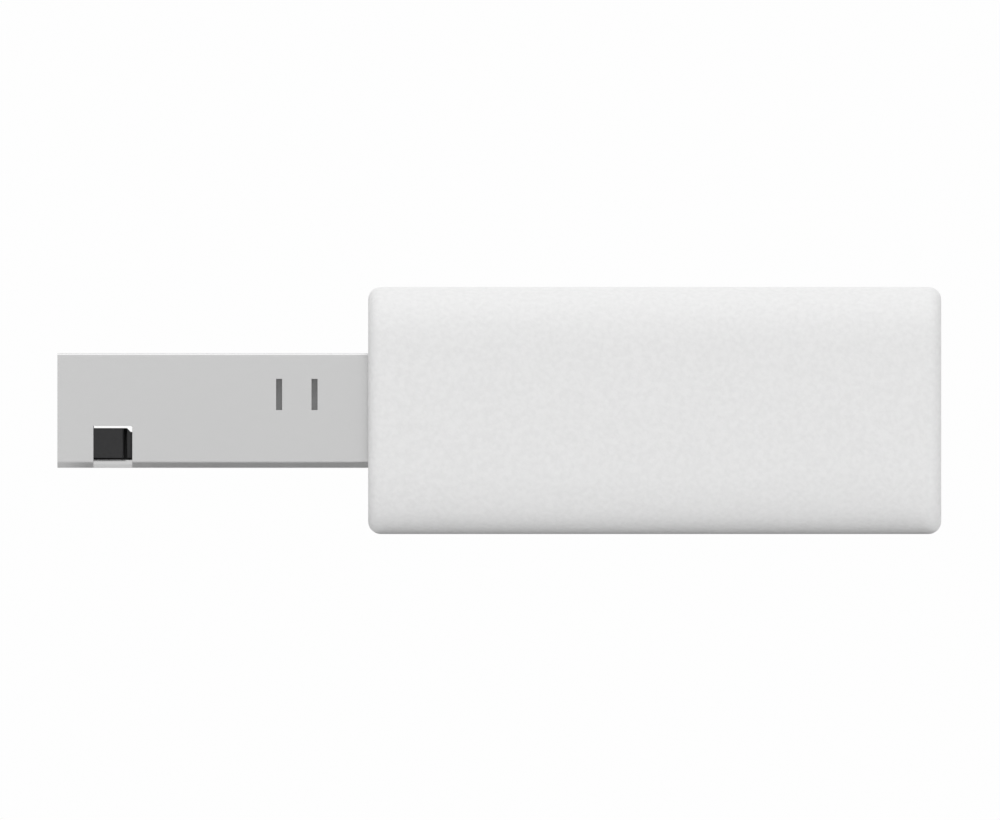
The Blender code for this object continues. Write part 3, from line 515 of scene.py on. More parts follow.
def makeSleeve():
    make = sleeveMake
    low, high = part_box("casing_sleeve")
    mid = (low.z + high.z) / 2
    wall = make["wall"]
    inside = high.y - wall
    bm = softened(block(low, high), along(axisX), make["corner"], make["cornerSteps"])
    softened(bm, at(axisX, low.x, high.x), make["rim"], make["rimSteps"])
    cavity = openBar((low.x + wall, -inside, low.z + wall), (high.x, inside, high.z - wall),
                     make["corner"] - wall, 10, 1, make["lip"])
    bm = cut(bm, cavity)
    bm = fused(bm, *boardRibs(low, inside, mid))
    plugY, plugZ = make["plugHalf"]
    mouth = openBar((low.x, -plugY, mid - plugZ), (low.x + 2 * wall, plugY, mid + plugZ),
                    make["plugCorner"], 6, -1, make["lip"])
    bm = cut(bm, boardGroove(mid), mouth, *snapPockets(high, inside, mid))
    place = over("mode_button", high.z)
    cutters = [dishCutter(place), holeCutter(dishMake["hole"], -dishMake["holeDrop"], -2 * wall,
                                             dishMake["holeEdge"], dishMake["steps"], place)]
    for node in ("light_pipe_busy", "light_pipe_power"):
        cutters += lightSeat(node, high.z, wall)
    bm = cut(bm, *cutters)
    makePiece("sleeve", bm, "casing_sleeve", "white_plastic")


def boardRibs(low, inside, mid):
    make = sleeveMake
    root, half = make["ribRoot"], make["ribHalf"]
    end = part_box("circuit_board")[1].x - make["ribShort"]
    return onBothSides((low.x + make["wall"] - root, end), (inside - make["ribReach"], inside + root),
                       (mid - half, mid + half))


def boardGroove(mid):
    make = sleeveMake
    halfY, halfZ = make["grooveHalf"]
    boardLow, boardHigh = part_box("circuit_board")
    return block((boardLow.x - make["groovePlay"], -halfY, mid - halfZ),
                 (boardHigh.x + make["grooveRun"], halfY, mid + halfZ))


def snapPockets(high, inside, mid):
    make = sleeveMake
    back, half = high.x - make["pocketBack"], make["pocketHalf"]
    return onBothSides((back - make["pocketLength"], back), (inside - mm, inside + make["pocketDepth"]),
                       (mid - half, mid + half))


def lightSeat(node, top, wall):
    make = lightMake
    low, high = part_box(node)
    place = over(node, top)
    head, bore = (high.x - low.x) / 2 + make["play"], make["shaft"] + make["play"]
    seat = holeCutter(head, 0, -make["head"] - make["play"], make["mouth"], make["steps"], place)
    shaft = spun([(0, 0), (bore, 0), (bore, -2 * wall), (0, -2 * wall)], make["steps"], place)
    return [seat, shaft]


# the plate at the back

coverMake = dict(corner=1.1 * mm, play=0.1 * mm, edge=0.12 * mm, thickness=1.2 * mm,
                 armHalf=1.6 * mm, armInner=6.6 * mm, armOuter=7.45 * mm, armEdge=0.15 * mm,
                 root=0.3 * mm, crest=8.05 * mm, catch=13.95 * mm, bite=0.2 * mm, slope=0.98,
                 windowCorner=0.1 * mm)


def makeCover():
    make = coverMake
    low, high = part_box("rear_cover")
    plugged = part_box("target_socket")
    mid = (low.z + high.z) / 2
    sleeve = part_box("casing_sleeve")[1]
    half = sleeve.y - sleeveMake["wall"] - make["play"]
    front = high.x - make["thickness"]
    bm = softened(block((front, -half, low.z), (high.x, half, high.z)), along(axisX), make["corner"], 10)
    softened(bm, at(axisX, high.x), make["edge"], 4)
    grow = Vector((0, make["play"], make["play"]))
    windowLow, windowHigh = plugged[0] - grow, plugged[1] + grow
    window = openBar((front - spill, windowLow.y, windowLow.z), (high.x, windowHigh.y, windowHigh.z),
                     make["windowCorner"], 2, 1, make["edge"])
    bm = cut(bm, window)
    zRange = (mid - make["armHalf"], mid + make["armHalf"])
    ramp = make["crest"] - make["armOuter"]
    start = make["catch"] - ramp - 2 * make["play"]
    arms = []
    for side in sides:
        arm = sideBlock(side, (low.x, front + make["root"]), (make["armInner"], make["armOuter"]), zRange)
        softened(arm, both(at(axisX, low.x), along(axisZ)), make["armEdge"], 3)
        yRange = (make["armOuter"] - make["bite"], make["crest"])
        barb = sideBlock(side, (start, make["catch"]), yRange, zRange)
        softened(barb, both(at(axisX, start), at(axisY, side * make["crest"])), ramp * make["slope"], 1)
        arms += [arm, barb]
    bm = fused(bm, *arms)
    makePiece("rear_plate", bm, "rear_cover", "white_plastic")


# the button and the light pipes

buttonMake = dict(radius=1.5 * mm, flange=2.1 * mm, flangeThickness=0.45 * mm, flangePlay=0.1 * mm,
                  stem=0.9 * mm, crown=0.15 * mm, dimple=0.05 * mm, edge=0.05 * mm, steps=96)


def makeButton():
    make = buttonMake
    low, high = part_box("mode_button")
    place = over("mode_button", 0)
    top, crown, radius, edge = high.z, make["crown"], make["radius"], make["edge"]
    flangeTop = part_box("casing_sleeve")[1].z - sleeveMake["wall"] - make["flangePlay"]
    flangeFoot = flangeTop - make["flangeThickness"]
    face = [(share * (radius - crown), top - make["dimple"] * (1 - share ** 2))
            for share in (0, 0.3, 0.6, 0.85)]
    outline = face + arc((radius - crown, top - crown), crown, 90, 0, 6)
    outline += [(radius, flangeTop)]
    outline += arc((make["flange"] - edge, flangeTop - edge), edge, 90, 0, 3)
    outline += arc((make["flange"] - edge, flangeFoot + edge), edge, 0, -90, 3)
    outline += [(make["stem"], flangeFoot), (make["stem"], low.z + edge)]
    outline += [(make["stem"] - edge, low.z), (0, low.z)]
    makePiece("button_cap", spun(outline, make["steps"], place), "mode_button", "white_plastic")


def makeLightPipe(name, node):
    make = lightMake
    low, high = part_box(node)
    place = over(node, 0)
    head, top = (high.x - low.x) / 2, high.z
    edge, footEdge = make["edge"], make["footEdge"]
    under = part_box("casing_sleeve")[1].z - make["head"]
    face = [(share * (head - edge), top - make["dome"] * share ** 2) for share in (0, 0.25, 0.5, 0.75)]
    outline = face + arc((head - edge, top - make["dome"] - edge), edge, 90, 0, 5)
    outline += [(head, under), (make["shaft"], under), (make["shaft"], low.z + footEdge)]
    outline += [(make["shaft"] - footEdge, low.z), (0, low.z)]
    makePiece(name, spun(outline, make["steps"], place), node, "clear_plastic")


# the plug; its own measures run from the tip and from its middle height

plugMake = dict(
    sheet=0.3 * mm, roofBend=0.12 * mm, floorBend=0.22 * mm, floorSlant=0.18 * mm, bendBlend=0.04 * mm,
    innerBend=0.08 * mm, back=14.9 * mm, coin=0.05 * mm,
    lock=(5.16 * mm, 7.46 * mm), lockY=(1.5 * mm, 4.0 * mm), lockCorner=0.12 * mm, past=0.1 * mm,
    latch=(1.415 * mm, 2.94 * mm), latchTop=-0.605 * mm, latchCorner=0.06 * mm,
    slits=(8.59 * mm, 9.98 * mm), slitWidth=0.23 * mm, slitZ=(0.02 * mm, 1.24 * mm), slitDepth=0.2 * mm,
    legBack=18.2 * mm, legHalf=1.25 * mm, legCorner=0.4 * mm,
    edge=0.012 * mm, seam=0.05 * mm, seamMiddle=9.24 * mm, neck=0.6 * mm, headHalf=0.95 * mm, tail=0.8 * mm,
)
shellLow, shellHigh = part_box("usb_shell")
tip = Vector((shellLow.x, 0, (shellLow.z + shellHigh.z) / 2))
plugY, plugZ = shellHigh.y, (shellHigh.z - shellLow.z) / 2


def atTip(bm):
    return moved(bm, tip)


def makeShell():
    make = plugMake
    sheet, back = make["sheet"], make["back"]
    bm = block((0, -plugY, -plugZ), (back, plugY, plugZ))
    softened(bm, both(along(axisX), at(axisZ, plugZ)), make["roofBend"], 4)
    softened(bm, both(along(axisX), at(axisZ, -plugZ)), make["floorBend"], 1)
    under = [v for v in bm.verts if abs(v.co.z + plugZ) < touch]
    for v in under:  # the lower bends lean further under than the upper ones
        v.co.y -= math.copysign(make["floorSlant"], v.co.y)
    softened(bm, both(along(axisX), either(at(axisZ, -plugZ), at(axisZ, make["floorBend"] - plugZ))),
             make["bendBlend"], 3)
    bore = openBar((0, -plugY + sheet, -plugZ + sheet), (back + spill, plugY - sheet, plugZ - sheet),
                   make["innerBend"], 4, -1, make["coin"])
    cutters, legs = [bore], []
    for side in sides:
        cutters += sideCutters(side)
        leg = sideBlock(side, (back - sheet, make["legBack"]), (plugY - sheet, plugY),
                        (-make["legHalf"], make["legHalf"]))
        legs.append(softened(leg, both(at(axisX, make["legBack"]), along(axisY)), make["legCorner"], 4))
    bm = cut(bm, *cutters)
    bm = fused(bm, *legs)
    bm = cut(bm, seamCutter())
    bm = broken(bm, make["edge"], 2, 60)
    # the second slot is the slit walls' bare steel, darkened as painted shade
    makePiece("plug_shell", atTip(bm), "usb_shell", "plated_steel", "raw_steel_painted_shade")


def sideCutters(side):
    make = plugMake
    lock = sideBlock(side, make["lock"], make["lockY"], (-plugZ - spill, plugZ + spill))
    softened(lock, along(axisZ), make["lockCorner"], 4)
    through = (plugY - make["sheet"] - make["past"], plugY + spill)
    latch = sideBlock(side, make["latch"], through, (-plugZ - spill, make["latchTop"]))
    softened(latch, both(at(axisX, make["latch"][1]), at(axisZ, make["latchTop"])), make["latchCorner"], 3)
    scored = (plugY - make["slitDepth"], plugY + spill)  # a thin web is left behind
    # the slit walls take slot 1: bare sheared steel, darkened as painted shade inside the slits
    slits = [painted(sideBlock(side, (start, start + make["slitWidth"]), scored, make["slitZ"]), 1)
             for start in make["slits"]]
    return [lock, latch, *slits]


def seamCutter():
    make = plugMake
    middle, neck, head, tail = make["seamMiddle"], make["neck"], make["headHalf"], make["tail"]
    path = [(-spill, 0, 0), (middle - neck, 0, 0), (middle - head, tail, 0), (middle + head, tail, 0),
            (middle + neck, 0, 0), (make["back"] + spill, 0, 0)]
    bm = thick(strip(path, (0, 0, 3 * make["sheet"])), make["seam"])
    return moved(bm, (0, 0, -plugZ + make["sheet"] / 2))


tongueMake = dict(
    fit=0.04 * mm, front=0.45 * mm, top=-0.05 * mm, blockFront=8.65 * mm, blockBack=15.7 * mm,
    nose=0.25 * mm, overlap=1.0 * mm, edge=0.04 * mm, fine=0.008 * mm, contact=0.006 * mm,
    relief=-0.69 * mm, reliefRear=-0.84 * mm, reliefSlope=0.149 * mm, reliefStart=0.02 * mm,
    padDrop=0.03 * mm, rounding=0.1 * mm, gap=0.13 * mm, step=0.2 * mm, stepDrop=0.2 * mm,
    hollow=1.0 * mm, foot=0.085 * mm,
)
stripMake = dict(
    width=1.0 * mm, gauge=0.2 * mm, start=1.15 * mm, setback=1.0 * mm, hook=0.3 * mm,
    riser=(9.45 * mm, 10.65 * mm), back=17.8 * mm, tailZ=0.93 * mm, bend=0.2 * mm, edge=0.03 * mm,
)
contactNames = ("ground", "data_plus", "data_minus", "power")


def contactPath(name, grown=0.0):
    make = stripMake
    start = make["start"] + (make["setback"] if name.startswith("data") else 0)
    run = tongueMake["top"] - make["gauge"] / 4
    corners = [(start - grown, 0, run - make["hook"] - grown), (start + make["hook"], 0, run),
               (make["riser"][0], 0, run), (make["riser"][1], 0, make["tailZ"]),
               (make["back"] + grown, 0, make["tailZ"])]
    return bent(corners, make["bend"])


def makeTongue():
    make = tongueMake
    fit = make["fit"]
    half = plugY - plugMake["sheet"] - fit
    floor = -plugZ + plugMake["sheet"] + make["contact"]
    roof = plugZ - plugMake["sheet"] - fit
    bm = softened(block((make["blockFront"], -half, floor), (make["blockBack"], half, roof)),
                  at(axisX, make["blockFront"], make["blockBack"]), make["edge"], 2)
    tongue = block((make["front"], -half, floor), (make["blockFront"] + make["overlap"], half, make["top"]))
    softened(tongue, both(at(axisX, make["front"]), along(axisY)), make["nose"], 5)
    bm = fused(bm, tongue)
    latch = plugMake["latch"]
    back = latch[1] - make["contact"]
    bm = cut(bm, block((latch[0] + make["reliefStart"], -plugY, make["relief"]), (back, plugY, plugZ)))
    for side in sides:
        pad, step = latchPad(side, half, floor)
        bm = cut(fused(fused(bm, pad), step), *latchHollows(side, floor))
    start = back - make["step"]
    slope = block((start, -plugY - spill, make["reliefRear"]), (back + fit, plugY + spill, plugZ / 2))
    softened(slope, both(at(axisX, start), at(axisZ, make["reliefRear"])), make["reliefSlope"], 1)
    bm = cut(bm, slope)
    grooves = []
    for name in contactNames:
        surface = strip(contactPath(name, fit), (0, stripMake["width"] + 2 * fit, 0))
        groove = thick(surface, stripMake["gauge"] + 2 * fit)
        grooves.append(moved(groove, (0, contactY(name), 0)))
    bm = cut(bm, *grooves)
    bm = broken(bm, make["fine"], 2, 50)
    makePiece("plug_tongue", atTip(bm), "usb_insulator", "black_plastic")


def latchPad(side, half, floor):
    # a proud pad that rounds off behind and a low step, which fill the window in the shell's side
    make = tongueMake
    fit, contact = make["fit"], make["contact"]
    start, end = plugMake["latch"]
    face, root = plugY - fit, half - 3 * fit
    foot = end - make["step"]
    heel = foot - make["gap"]
    top = make["relief"] - make["padDrop"]
    pad = sideBlock(side, (start + contact, heel), (root, face), (floor, top))
    softened(pad, both(at(axisY, side * face), at(axisX, heel)), make["rounding"], 5)
    step = sideBlock(side, (foot, end - contact), (root, face - make["stepDrop"]), (floor, top - contact))
    return pad, step


def latchHollows(side, floor):
    # a deep slot between pad and step, and one under both
    make = tongueMake
    start, end = plugMake["latch"]
    foot = end - make["step"]
    depth = (plugY - make["hollow"], plugY + spill)
    slot = sideBlock(side, (foot - make["gap"], foot), depth, (floor + make["foot"] / 2, plugZ / 2))
    under = sideBlock(side, (start - spill, end - make["contact"] / 2), depth,
                      (floor - spill, floor + make["foot"]))
    return slot, under


def contactY(name):
    return boxCentre("usb_contact_" + name).y


def makeContacts():
    make = stripMake
    for name in contactNames:
        bm = thick(strip(contactPath(name), (0, make["width"], 0)), make["gauge"])
        bm = broken(bm, make["edge"], 3, 60)
        bm = atTip(moved(bm, (0, contactY(name), 0)))
        makePiece("plug_contact_" + name, bm, "usb_contact_" + name, "gold_plate")


# the ten-way socket; its own measures run from the middle of its back face

socketMake = dict(
    pitch=2.54 * mm, ways=5, mouth=1.5 * mm, funnel=0.4 * mm, throat=0.8 * mm, throatDepth=0.95 * mm,
    chamber=(1.7 * mm, 1.4 * mm), lap=(0.1 * mm, 0.05 * mm), edge=0.15 * mm, fine=0.04 * mm,
)
forkMake = dict(gauge=0.2 * mm, width=1.0 * mm, mouth=-1.3 * mm, nip=-2.4 * mm, heel=-6.1 * mm,
                spread=(0.55 * mm, 0.3 * mm, 0.62 * mm), bend=0.15 * mm, edge=0.025 * mm,
                tailGauge=0.25 * mm, tailWidth=0.6 * mm, tailBend=0.1 * mm, tailStart=0.1 * mm,
                tailKnee=0.3 * mm, tailEnd=2.4 * mm, solder=0.03 * mm)
socketLow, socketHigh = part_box("target_socket")
socketBack = Vector((socketHigh.x, 0, (socketLow.z + socketHigh.z) / 2))


def ways():
    pitch, count = socketMake["pitch"], socketMake["ways"]
    return [((way - (count - 1) / 2) * pitch, row * pitch / 2) for row in (1, -1) for way in range(count)]


def funnel(y, z):
    make = socketMake
    outer = make["mouth"] + (make["mouth"] - make["throat"]) / make["funnel"] * spill
    bm = bmesh.new()
    bmesh.ops.create_cone(bm, cap_ends=True, segments=4, radius1=make["throat"] / math.sqrt(2),
                          radius2=outer / math.sqrt(2), depth=make["funnel"] + spill)
    for turn, axis in ((math.pi / 4, "Z"), (math.pi / 2, "Y")):
        turned(bm, turn, axis)
    return moved(bm, ((spill - make["funnel"]) / 2, y, z))


def throat(y, z):
    make, half = socketMake, socketMake["throat"] / 2
    return block((-make["throatDepth"] - make["lap"][0], y - half, z - half),
                 (make["lap"][1] - make["funnel"], y + half, z + half))


def chamber(y, z):
    make = socketMake
    halfY, halfZ = make["chamber"][0] / 2, make["chamber"][1] / 2
    return block((socketLow.x - socketHigh.x - spill, y - halfY, z - halfZ),
                 (-make["throatDepth"], y + halfY, z + halfZ))


def makeSocket():
    make = socketMake
    bm = block(socketLow - socketBack, socketHigh - socketBack)
    softened(bm, along(axisX), make["edge"], 3)
    for shaped in (funnel, throat, chamber):
        bm = cut(bm, gathered([shaped(y, z) for y, z in ways()]))
    bm = broken(bm, make["fine"], 2, 40)
    makePiece("socket_housing", moved(bm, socketBack), "target_socket", "black_plastic")


def forkShape():
    make = forkMake
    heel = make["heel"]
    half = [(x, y, 0) for x, y in zip((make["mouth"], make["nip"], heel), make["spread"])]
    path = half + [(x, -y, z) for x, y, z in half[::-1]]
    fork = thick(strip(bent(path, make["bend"], 3), (0, 0, make["width"])), make["gauge"])
    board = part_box("circuit_board")[1].z - socketBack.z
    drop = socketMake["pitch"] / 2 - board - make["solder"] - make["tailGauge"] / 2
    back = socketLow.x - socketHigh.x
    tail = bent([(heel, 0, 0), (back + make["tailStart"], 0, 0), (back - make["tailKnee"], 0, -drop),
                 (back - make["tailEnd"], 0, -drop)], make["tailBend"], 3)
    return fused(fork, thick(strip(tail, (0, make["tailWidth"], 0)), make["tailGauge"]))


def makeForks():
    for number, (y, z) in enumerate(ways(), 1):
        bm = broken(forkShape(), forkMake["edge"], 2, 60)
        if z < 0:
            turned(bm, math.pi, "X")
        moved(bm, socketBack + Vector((0, y, z)))
        makePiece(f"socket_contact_{number}", bm, f"target_contact_{number}", "gold_plate")


makeSleeve()
makeCover()
makeButton()
makeLightPipe("light_pipe_left", "light_pipe_busy")
makeLightPipe("light_pipe_right", "light_pipe_power")
print("casing made")
makeShell()
makeTongue()
makeContacts()
print("plug made")
makeSocket()
makeForks()
print("socket made")


# the board and what is soldered on it

def onBoard(bm, node):  # from a frame at the part's foot; what hangs under the board is turned over
    low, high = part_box(node)
    under = boxCentre(node).z < boxCentre("circuit_board").z
    if under:
        turned(bm, math.pi, "X")
    return moved(bm, over(node, high.z if under else low.z))


def upright(length, width, bottom, top):
    return block((-length / 2, -width / 2, bottom), (length / 2, width / 2, top))


def dotCutter(make, height, corner, steps):  # sinks the mark at a chip's first corner
    deep = height - make["dotDepth"]
    outline = [(0, height + spill), (make["dot"], height + spill), (make["dot"], deep), (0, deep)]
    return spun(outline, steps, corner)


chipMake = dict(cap=0.2, lip=0.02 * mm, edge=0.03 * mm)


def makeEndedChip(name, node, look):  # a body between two tinned end caps
    make = chipMake
    length, width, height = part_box(node)[1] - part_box(node)[0]
    cap, lip = make["cap"] * length, make["lip"]
    body = softened(upright(length - cap, width - 2 * lip, lip, height - lip), everyEdge, make["edge"], 2)
    ends = []
    for side in (-1, 1):
        middle = side * (length - cap) / 2
        end = block((middle - cap / 2, -width / 2, 0), (middle + cap / 2, width / 2, height))
        ends.append(painted(softened(end, everyEdge, make["edge"], 3), 1))
    bm = onBoard(gathered([body, *ends]), node)
    makePiece(name, bm, node, look, "tin")


leadMake = dict(body=(2.9 * mm, 1.6 * mm, 1.1 * mm), stand=0.1 * mm, draft=0.1 * mm, edge=0.04 * mm,
                pitch=0.95 * mm, width=0.4 * mm, gauge=0.15 * mm, bend=0.08 * mm, shoulder=0.55,
                dot=0.16 * mm, dotDepth=0.05 * mm)


def makeLeadedChip(name, node, nearLeads, farLeads):
    make = leadMake
    length, width, height = make["body"]
    draft, gauge = make["draft"], make["gauge"]
    body = softened(upright(length, width, make["stand"], height), at(axisZ, height), draft, 1)
    softened(body, everyEdge, make["edge"], 2)
    corner = (-length / 2 + 3 * make["dot"], -width / 2 + 2.5 * make["dot"], 0)
    body = cut(body, dotCutter(make, height, corner, 24))
    shoulder = make["shoulder"] * height
    lead = [(width / 2 - draft, shoulder), (width / 2 + draft, shoulder),
            (width / 2 + 3 * draft, gauge / 2), (width / 2 + 6 * draft, gauge / 2)]
    leads = []
    for side, row in ((-1, nearLeads), (1, farLeads)):
        for x in row:
            path = bent([(x * make["pitch"], side * y, z) for y, z in lead], make["bend"], 3)
            leads.append(painted(thick(strip(path, (make["width"], 0, 0)), gauge), 1))
    makePiece(name, onBoard(gathered([body, *leads]), node), node, "chip_grey", "tin")


controllerMake = dict(height=0.85 * mm, edge=0.05 * mm, lands=7, pitch=0.6 * mm, land=(0.3 * mm, 0.2 * mm),
                      stand=0.02 * mm, dot=0.25 * mm, dotDepth=0.05 * mm)


def makeController(name, node):
    make = controllerMake
    low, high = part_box(node)
    stand, height = make["stand"], make["height"]
    size = high.x - low.x - 2 * stand
    body = softened(upright(size, size, 0, height), at(axisZ, height), make["edge"], 2)
    corner = 3 * make["dot"] - size / 2
    body = cut(body, dotCutter(make, height, (corner, corner, 0), 32))
    landWidth, landHeight = make["land"]
    lands = []
    for number in range(make["lands"]):
        middle = (number - (make["lands"] - 1) / 2) * make["pitch"]
        first, last = middle - landWidth / 2, middle + landWidth / 2
        for side in (-1, 1):
            near, far = sorted((side * (size / 2 - landWidth), side * (size / 2 + stand)))
            lands.append(painted(block((first, near, stand / 2), (last, far, landHeight)), 1))
            lands.append(painted(block((near, first, stand / 2), (far, last, landHeight)), 1))
    makePiece(name, onBoard(gathered([body, *lands]), node), node, "chip_grey", "tin")


crystalMake = dict(tray=0.5 * mm, rim=0.12 * mm, sink=0.02 * mm, edge=0.06 * mm)


def makeCrystal(name, node):  # a ceramic tray under a metal lid
    low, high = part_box(node)
    length, width, top = high - low
    tray, rim = crystalMake["tray"], crystalMake["rim"]
    body = softened(upright(length, width, 0, tray), along(axisZ), rim, 3)
    lid = upright(length - 2 * rim, width - 2 * rim, tray - crystalMake["sink"], top)
    softened(lid, along(axisZ), rim, 3)
    painted(softened(lid, at(axisZ, top), crystalMake["edge"], 3), 1)
    makePiece(name, onBoard(gathered([body, lid]), node), node, "chip_ceramic", "tin")


ledMake = dict(carrier=0.25 * mm, cap=0.15, lens=0.7, lensInset=0.08 * mm, edge=0.04 * mm, lip=0.01 * mm)


def makeLight(name, node):  # a clear block on a pale carrier with gilt ends
    make = ledMake
    low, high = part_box(node)
    length, width, height = high - low
    carrier, cap, lip = make["carrier"], make["cap"] * length, make["lip"]
    base = upright(length - 2 * lip, width - 2 * lip, lip, carrier)
    lens = upright(make["lens"] * length, width - make["lensInset"], carrier, height)
    painted(softened(lens, everyEdge, make["edge"], 3), 1)
    ends = []
    for side in (-1, 1):
        near, far = sorted((side * (length / 2 - cap), side * length / 2))
        ends.append(painted(block((near, -width / 2, 0), (far, width / 2, carrier + lip)), 2))
    bm = onBoard(gathered([base, lens, *ends]), node)
    makePiece(name, bm, node, "pale_ceramic", "clear_plastic", "gold_plate", slot="clear_plastic")


boardMake = dict(corner=0.5 * mm, play=0.08 * mm, land=0.028 * mm, landRoot=0.01 * mm, landEdge=0.008 * mm)
landMake = dict(  # how far a land runs, and past what is soldered on it
    chip=0.25 * mm, leadHalf=0.25 * mm, leadRun=0.6 * mm, contact=(1.6 * mm, 0.2 * mm),
    contactHalf=0.6 * mm, way=(2.2 * mm, 0.3 * mm), wayHalf=0.45 * mm, terminal=(0.2 * mm, 0.1 * mm),
)


def makeBoard():
    # laminate between two layers of mask, with a tinned land under every soldered foot
    make = boardMake
    low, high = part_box("circuit_board")
    bm = softened(block(low, high), along(axisZ), make["corner"], 5)
    legEnd = tip.x + plugMake["legBack"] + 2 * make["play"]
    yRange = (plugY - plugMake["sheet"] - make["play"], plugY + make["play"])
    bm = cut(bm, *onBothSides((low.x - spill, legEnd), yRange, (low.z - spill, high.z + spill)))
    for face in bm.faces:
        if abs(face.normal.z) < 0.5:  # the cut edge shows the bare laminate
            face.material_index = 1
    bm = gathered([bm, *boardLands(low, high)])
    makePiece("board", bm, "circuit_board", "green_board", "laminate", "tin")


def boardLands(low, high):
    make, lands = landMake, []
    middle = (low.z + high.z) / 2

    def addLand(xRange, yRange, under):
        face, up = (low.z, -1) if under else (high.z, 1)
        top = face + up * boardMake["land"]
        near, far = sorted((face - up * boardMake["landRoot"], top))
        land = block((xRange[0], yRange[0], near), (xRange[1], yRange[1], far))
        lands.append(painted(softened(land, at(axisZ, top), boardMake["landEdge"], 1), 2))

    for node in endedChips:
        first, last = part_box(node)
        cap, under = chipMake["cap"] * (last.x - first.x), last.z < middle
        addLand((first.x - make["chip"], first.x + cap), (first.y, last.y), under)
        addLand((last.x - cap, last.x + make["chip"]), (first.y, last.y), under)
    for node, rows in leadedChips.items():
        centre = boxCentre(node)
        under = centre.z < middle
        reach = leadMake["body"][1] / 2 + 2.5 * leadMake["draft"]
        for side, row in zip((1, -1) if under else (-1, 1), rows):
            near, far = sorted((centre.y + side * reach, centre.y + side * (reach + make["leadRun"])))
            for place in row:
                x = centre.x + place * leadMake["pitch"]
                addLand((x - make["leadHalf"], x + make["leadHalf"]), (near, far), under)
    back, half = tip.x + stripMake["back"], make["contactHalf"]
    for name in contactNames:
        y = contactY(name)
        addLand((back - make["contact"][0], back + make["contact"][1]), (y - half, y + half), False)
    half = make["wayHalf"]
    for y, z in ways():
        addLand((high.x - make["way"][0], high.x - make["way"][1]), (y - half, y + half), z < 0)
    beyondX, beyondY = make["terminal"]
    for node in ("switch_terminal_1", "switch_terminal_2"):
        first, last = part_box(node)
        addLand((first.x - beyondX, last.x + beyondX), (first.y - beyondY, last.y + beyondY), False)
    return lands


endedChips = {
    "input_fuse": "fuse_green", "ferrite_bead": "chip_grey", "resistor_data_plus": "chip_grey",
    "resistor_data_minus": "chip_grey", "resistor_busy_led": "chip_grey", "resistor_power_led": "chip_grey",
    "capacitor_crystal_in": "chip_ceramic", "capacitor_crystal_out": "chip_ceramic",
    "capacitor_regulator_in": "chip_ceramic", "capacitor_regulator_out": "chip_ceramic",
    "capacitor_supply": "chip_ceramic", "capacitor_core": "chip_ceramic",
}
leadedChips = {
    "esd_protector": ((-1, 0, 1), (-1, 0, 1)),
    "level_shifter": ((-1, 0, 1), (-1, 0, 1)),
    "voltage_regulator": ((-1, 0, 1), (-1, 1)),
}
makeBoard()
for node, look in endedChips.items():
    makeEndedChip(node + "_chip", node, look)
for node, (nearLeads, farLeads) in leadedChips.items():
    makeLeadedChip(node + "_chip", node, nearLeads, farLeads)
makeController("controller_chip", "bridge_controller")
makeCrystal("crystal_can", "crystal")
makeLight("busy_light", "busy_led")
makeLight("power_light", "power_led")
print("board made")


# the switch under the button, measured from its foot

switchMake = dict(edge=0.04 * mm, well=0.3 * mm, wellRadius=1.25 * mm, gauge=0.12 * mm, skirt=0.35 * mm,
                  bend=0.12 * mm, stand=0.04 * mm, inset=0.4 * mm, holeFoot=0.1 * mm, play=0.08 * mm,
                  plungerRadius=0.7 * mm, flangeRadius=1.0 * mm, flange=0.22 * mm,
                  domeGauge=0.06 * mm, domePressed=0.2)
terminalMake = dict(gauge=0.15 * mm, width=0.8 * mm, reach=0.35 * mm, height=0.5 * mm, bend=0.1 * mm,
                    stand=0.03 * mm)


def makeSwitch():
    make = switchMake
    low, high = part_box("switch_base")
    foot = Vector(((low.x + high.x) / 2, (low.y + high.y) / 2, low.z))
    length, width, height = high - low
    edge = make["edge"]
    base = softened(upright(length, width, 0, height), everyEdge, edge, 2)
    base = cut(base, holeCutter(make["wellRadius"], height, make["well"], edge, 64, (0, 0, 0)))
    plunger = plungerOutline(foot)
    halfWidth = width / 2 + make["stand"] + make["gauge"] / 2
    top = height + make["stand"] + make["gauge"] / 2
    path = bent([(0, -halfWidth, make["skirt"]), (0, -halfWidth, top), (0, halfWidth, top),
                 (0, halfWidth, make["skirt"])], make["bend"], 5)
    cover = thick(strip(path, (length - make["inset"], 0, 0)), make["gauge"])
    hole = make["plungerRadius"] + make["play"]
    under = height - make["holeFoot"]
    cover = cut(cover, spun([(0, 2 * top), (hole, 2 * top), (hole, under), (0, under)], 64))
    for name, bm, node, look in (("switch_body", base, "switch_base", "black_plastic"),
                                 ("switch_frame", cover, "switch_cover", "plated_steel"),
                                 ("switch_stem", plunger, "switch_plunger", "black_plastic")):
        makePiece(name, moved(bm, foot), node, look)
    makeDome(foot)
    make = terminalMake
    gauge = make["gauge"]
    wall = length / 2 + make["stand"] + gauge / 2
    path = bent([(wall, 0, make["height"]), (wall, 0, gauge / 2), (wall + make["reach"], 0, gauge / 2)],
                make["bend"], 4)
    for number, turn in enumerate((0, math.pi), 1):
        bm = turned(thick(strip(path, (0, make["width"], 0)), gauge), turn, "Z")
        makePiece(f"switch_foot_{number}", moved(bm, foot), f"switch_terminal_{number}", "tin",
                  slot="plated_steel")


def makeDome(foot):
    # the springy disc under the stem, in a mesh of its own; the real one flattens as the button goes down
    low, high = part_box("switch_dome")
    gauge, steps = switchMake["domeGauge"], 8
    radius, top = (high.x - low.x) / 2, high.z - foot.z
    rise = high.z - low.z - gauge
    crown = [(radius * step / steps, top - rise * (step / steps) ** 2) for step in range(steps + 1)]
    bm = spun(crown + [(reach, height - gauge) for reach, height in reversed(crown)], 48)
    dome = makePiece("snap_dome", moved(bm, foot), "switch_dome", "plated_steel")
    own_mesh(dome)


